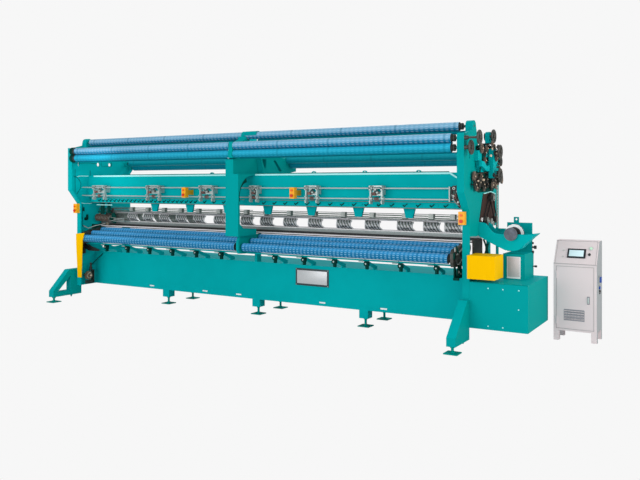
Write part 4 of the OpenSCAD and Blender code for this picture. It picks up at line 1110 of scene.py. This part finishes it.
def camera_sees(tree, lit, seen, output):
    """Show the camera one shader, and let the other light the machine."""
    path = tree.nodes.new("ShaderNodeLightPath")
    choose = tree.nodes.new("ShaderNodeMixShader")
    for index, source in enumerate((path.outputs["Is Camera Ray"], lit, seen)):
        tree.links.new(source, choose.inputs[index])
    tree.links.new(choose.outputs[0], output)


def backdrop():
    """Floor that the camera sees as plain near-white, and that lights the machine from below."""
    deselect()
    bpy.ops.mesh.primitive_plane_add(size=120, location=(0, 0, -0.0005))
    floor = bpy.context.object
    floor.name = "floor"
    pale = Shader("pale_floor", (0.8, 0.8, 0.8), 0.9, specular=0.0)
    glow = pale.node("ShaderNodeEmission", None, {"Color": BACKGROUND, "Strength": 1.0})
    camera_sees(pale.tree, pale.bsdf.outputs[0], glow.socket, pale.tree.nodes["Material Output"].inputs[0])
    floor.data.materials.append(pale.material)


def lamp(name, place, target, size, power, color=(1, 1, 1)):
    """Soft rectangular lamp that the camera doesn't see; place and target in metres."""
    data = bpy.data.lights.new(name, "AREA")
    data.shape = "RECTANGLE"
    data.size, data.size_y = size
    data.energy = power
    data.color = color
    source = linked(name, data)
    source.location = place
    source.rotation_euler = (Vector(target) - Vector(place)).to_track_quat("-Z", "Y").to_euler()
    source.visible_camera = False


def lights():
    lamp("key", (0.5, -13.0, 2.6), (0, 0, 0.8), (14, 4.5), 880, (0.99, 0.99, 1.0))
    lamp("side", (11.0, -1.5, 4.0), (3.0, 0, 1.2), (6, 4), 420, (1.0, 1.0, 0.94))
    lamp("back", (-1.0, 7.0, 8.0), (0, 0, 1.8), (10, 2), 520)
    lamp("fill", (-2.3, -1.1, 1.8), (-3.1, -0.4, 1.75), (0.4, 0.9), 4)


def world():
    """White sky that lights the machine; the camera sees the background tone instead."""
    studio = bpy.data.worlds.new("studio")
    bpy.context.scene.world = studio
    studio.use_nodes = True
    tree = studio.node_tree
    sky = tree.nodes["Background"]
    sky.inputs["Color"].default_value = (1, 1, 1, 1)
    sky.inputs["Strength"].default_value = SKY_STRENGTH
    seen = tree.nodes.new("ShaderNodeBackground")
    seen.inputs["Color"].default_value = BACKGROUND
    camera_sees(tree, sky.outputs[0], seen.outputs[0], tree.nodes["World Output"].inputs[0])


def camera():
    """Level camera at eye height."""
    data = bpy.data.cameras.new("camera")
    data.sensor_width = 36.0
    data.lens = LENS
    data.shift_y = LENS_SHIFT
    data.clip_end = 200
    view = linked("camera", data)
    view.location = EYE
    view.rotation_euler = (math.radians(90), 0, math.radians(EYE_TURN))
    bpy.context.scene.camera = view


backdrop()
lights()
world()
camera()
bpy.context.scene.view_settings.view_transform = "Standard"
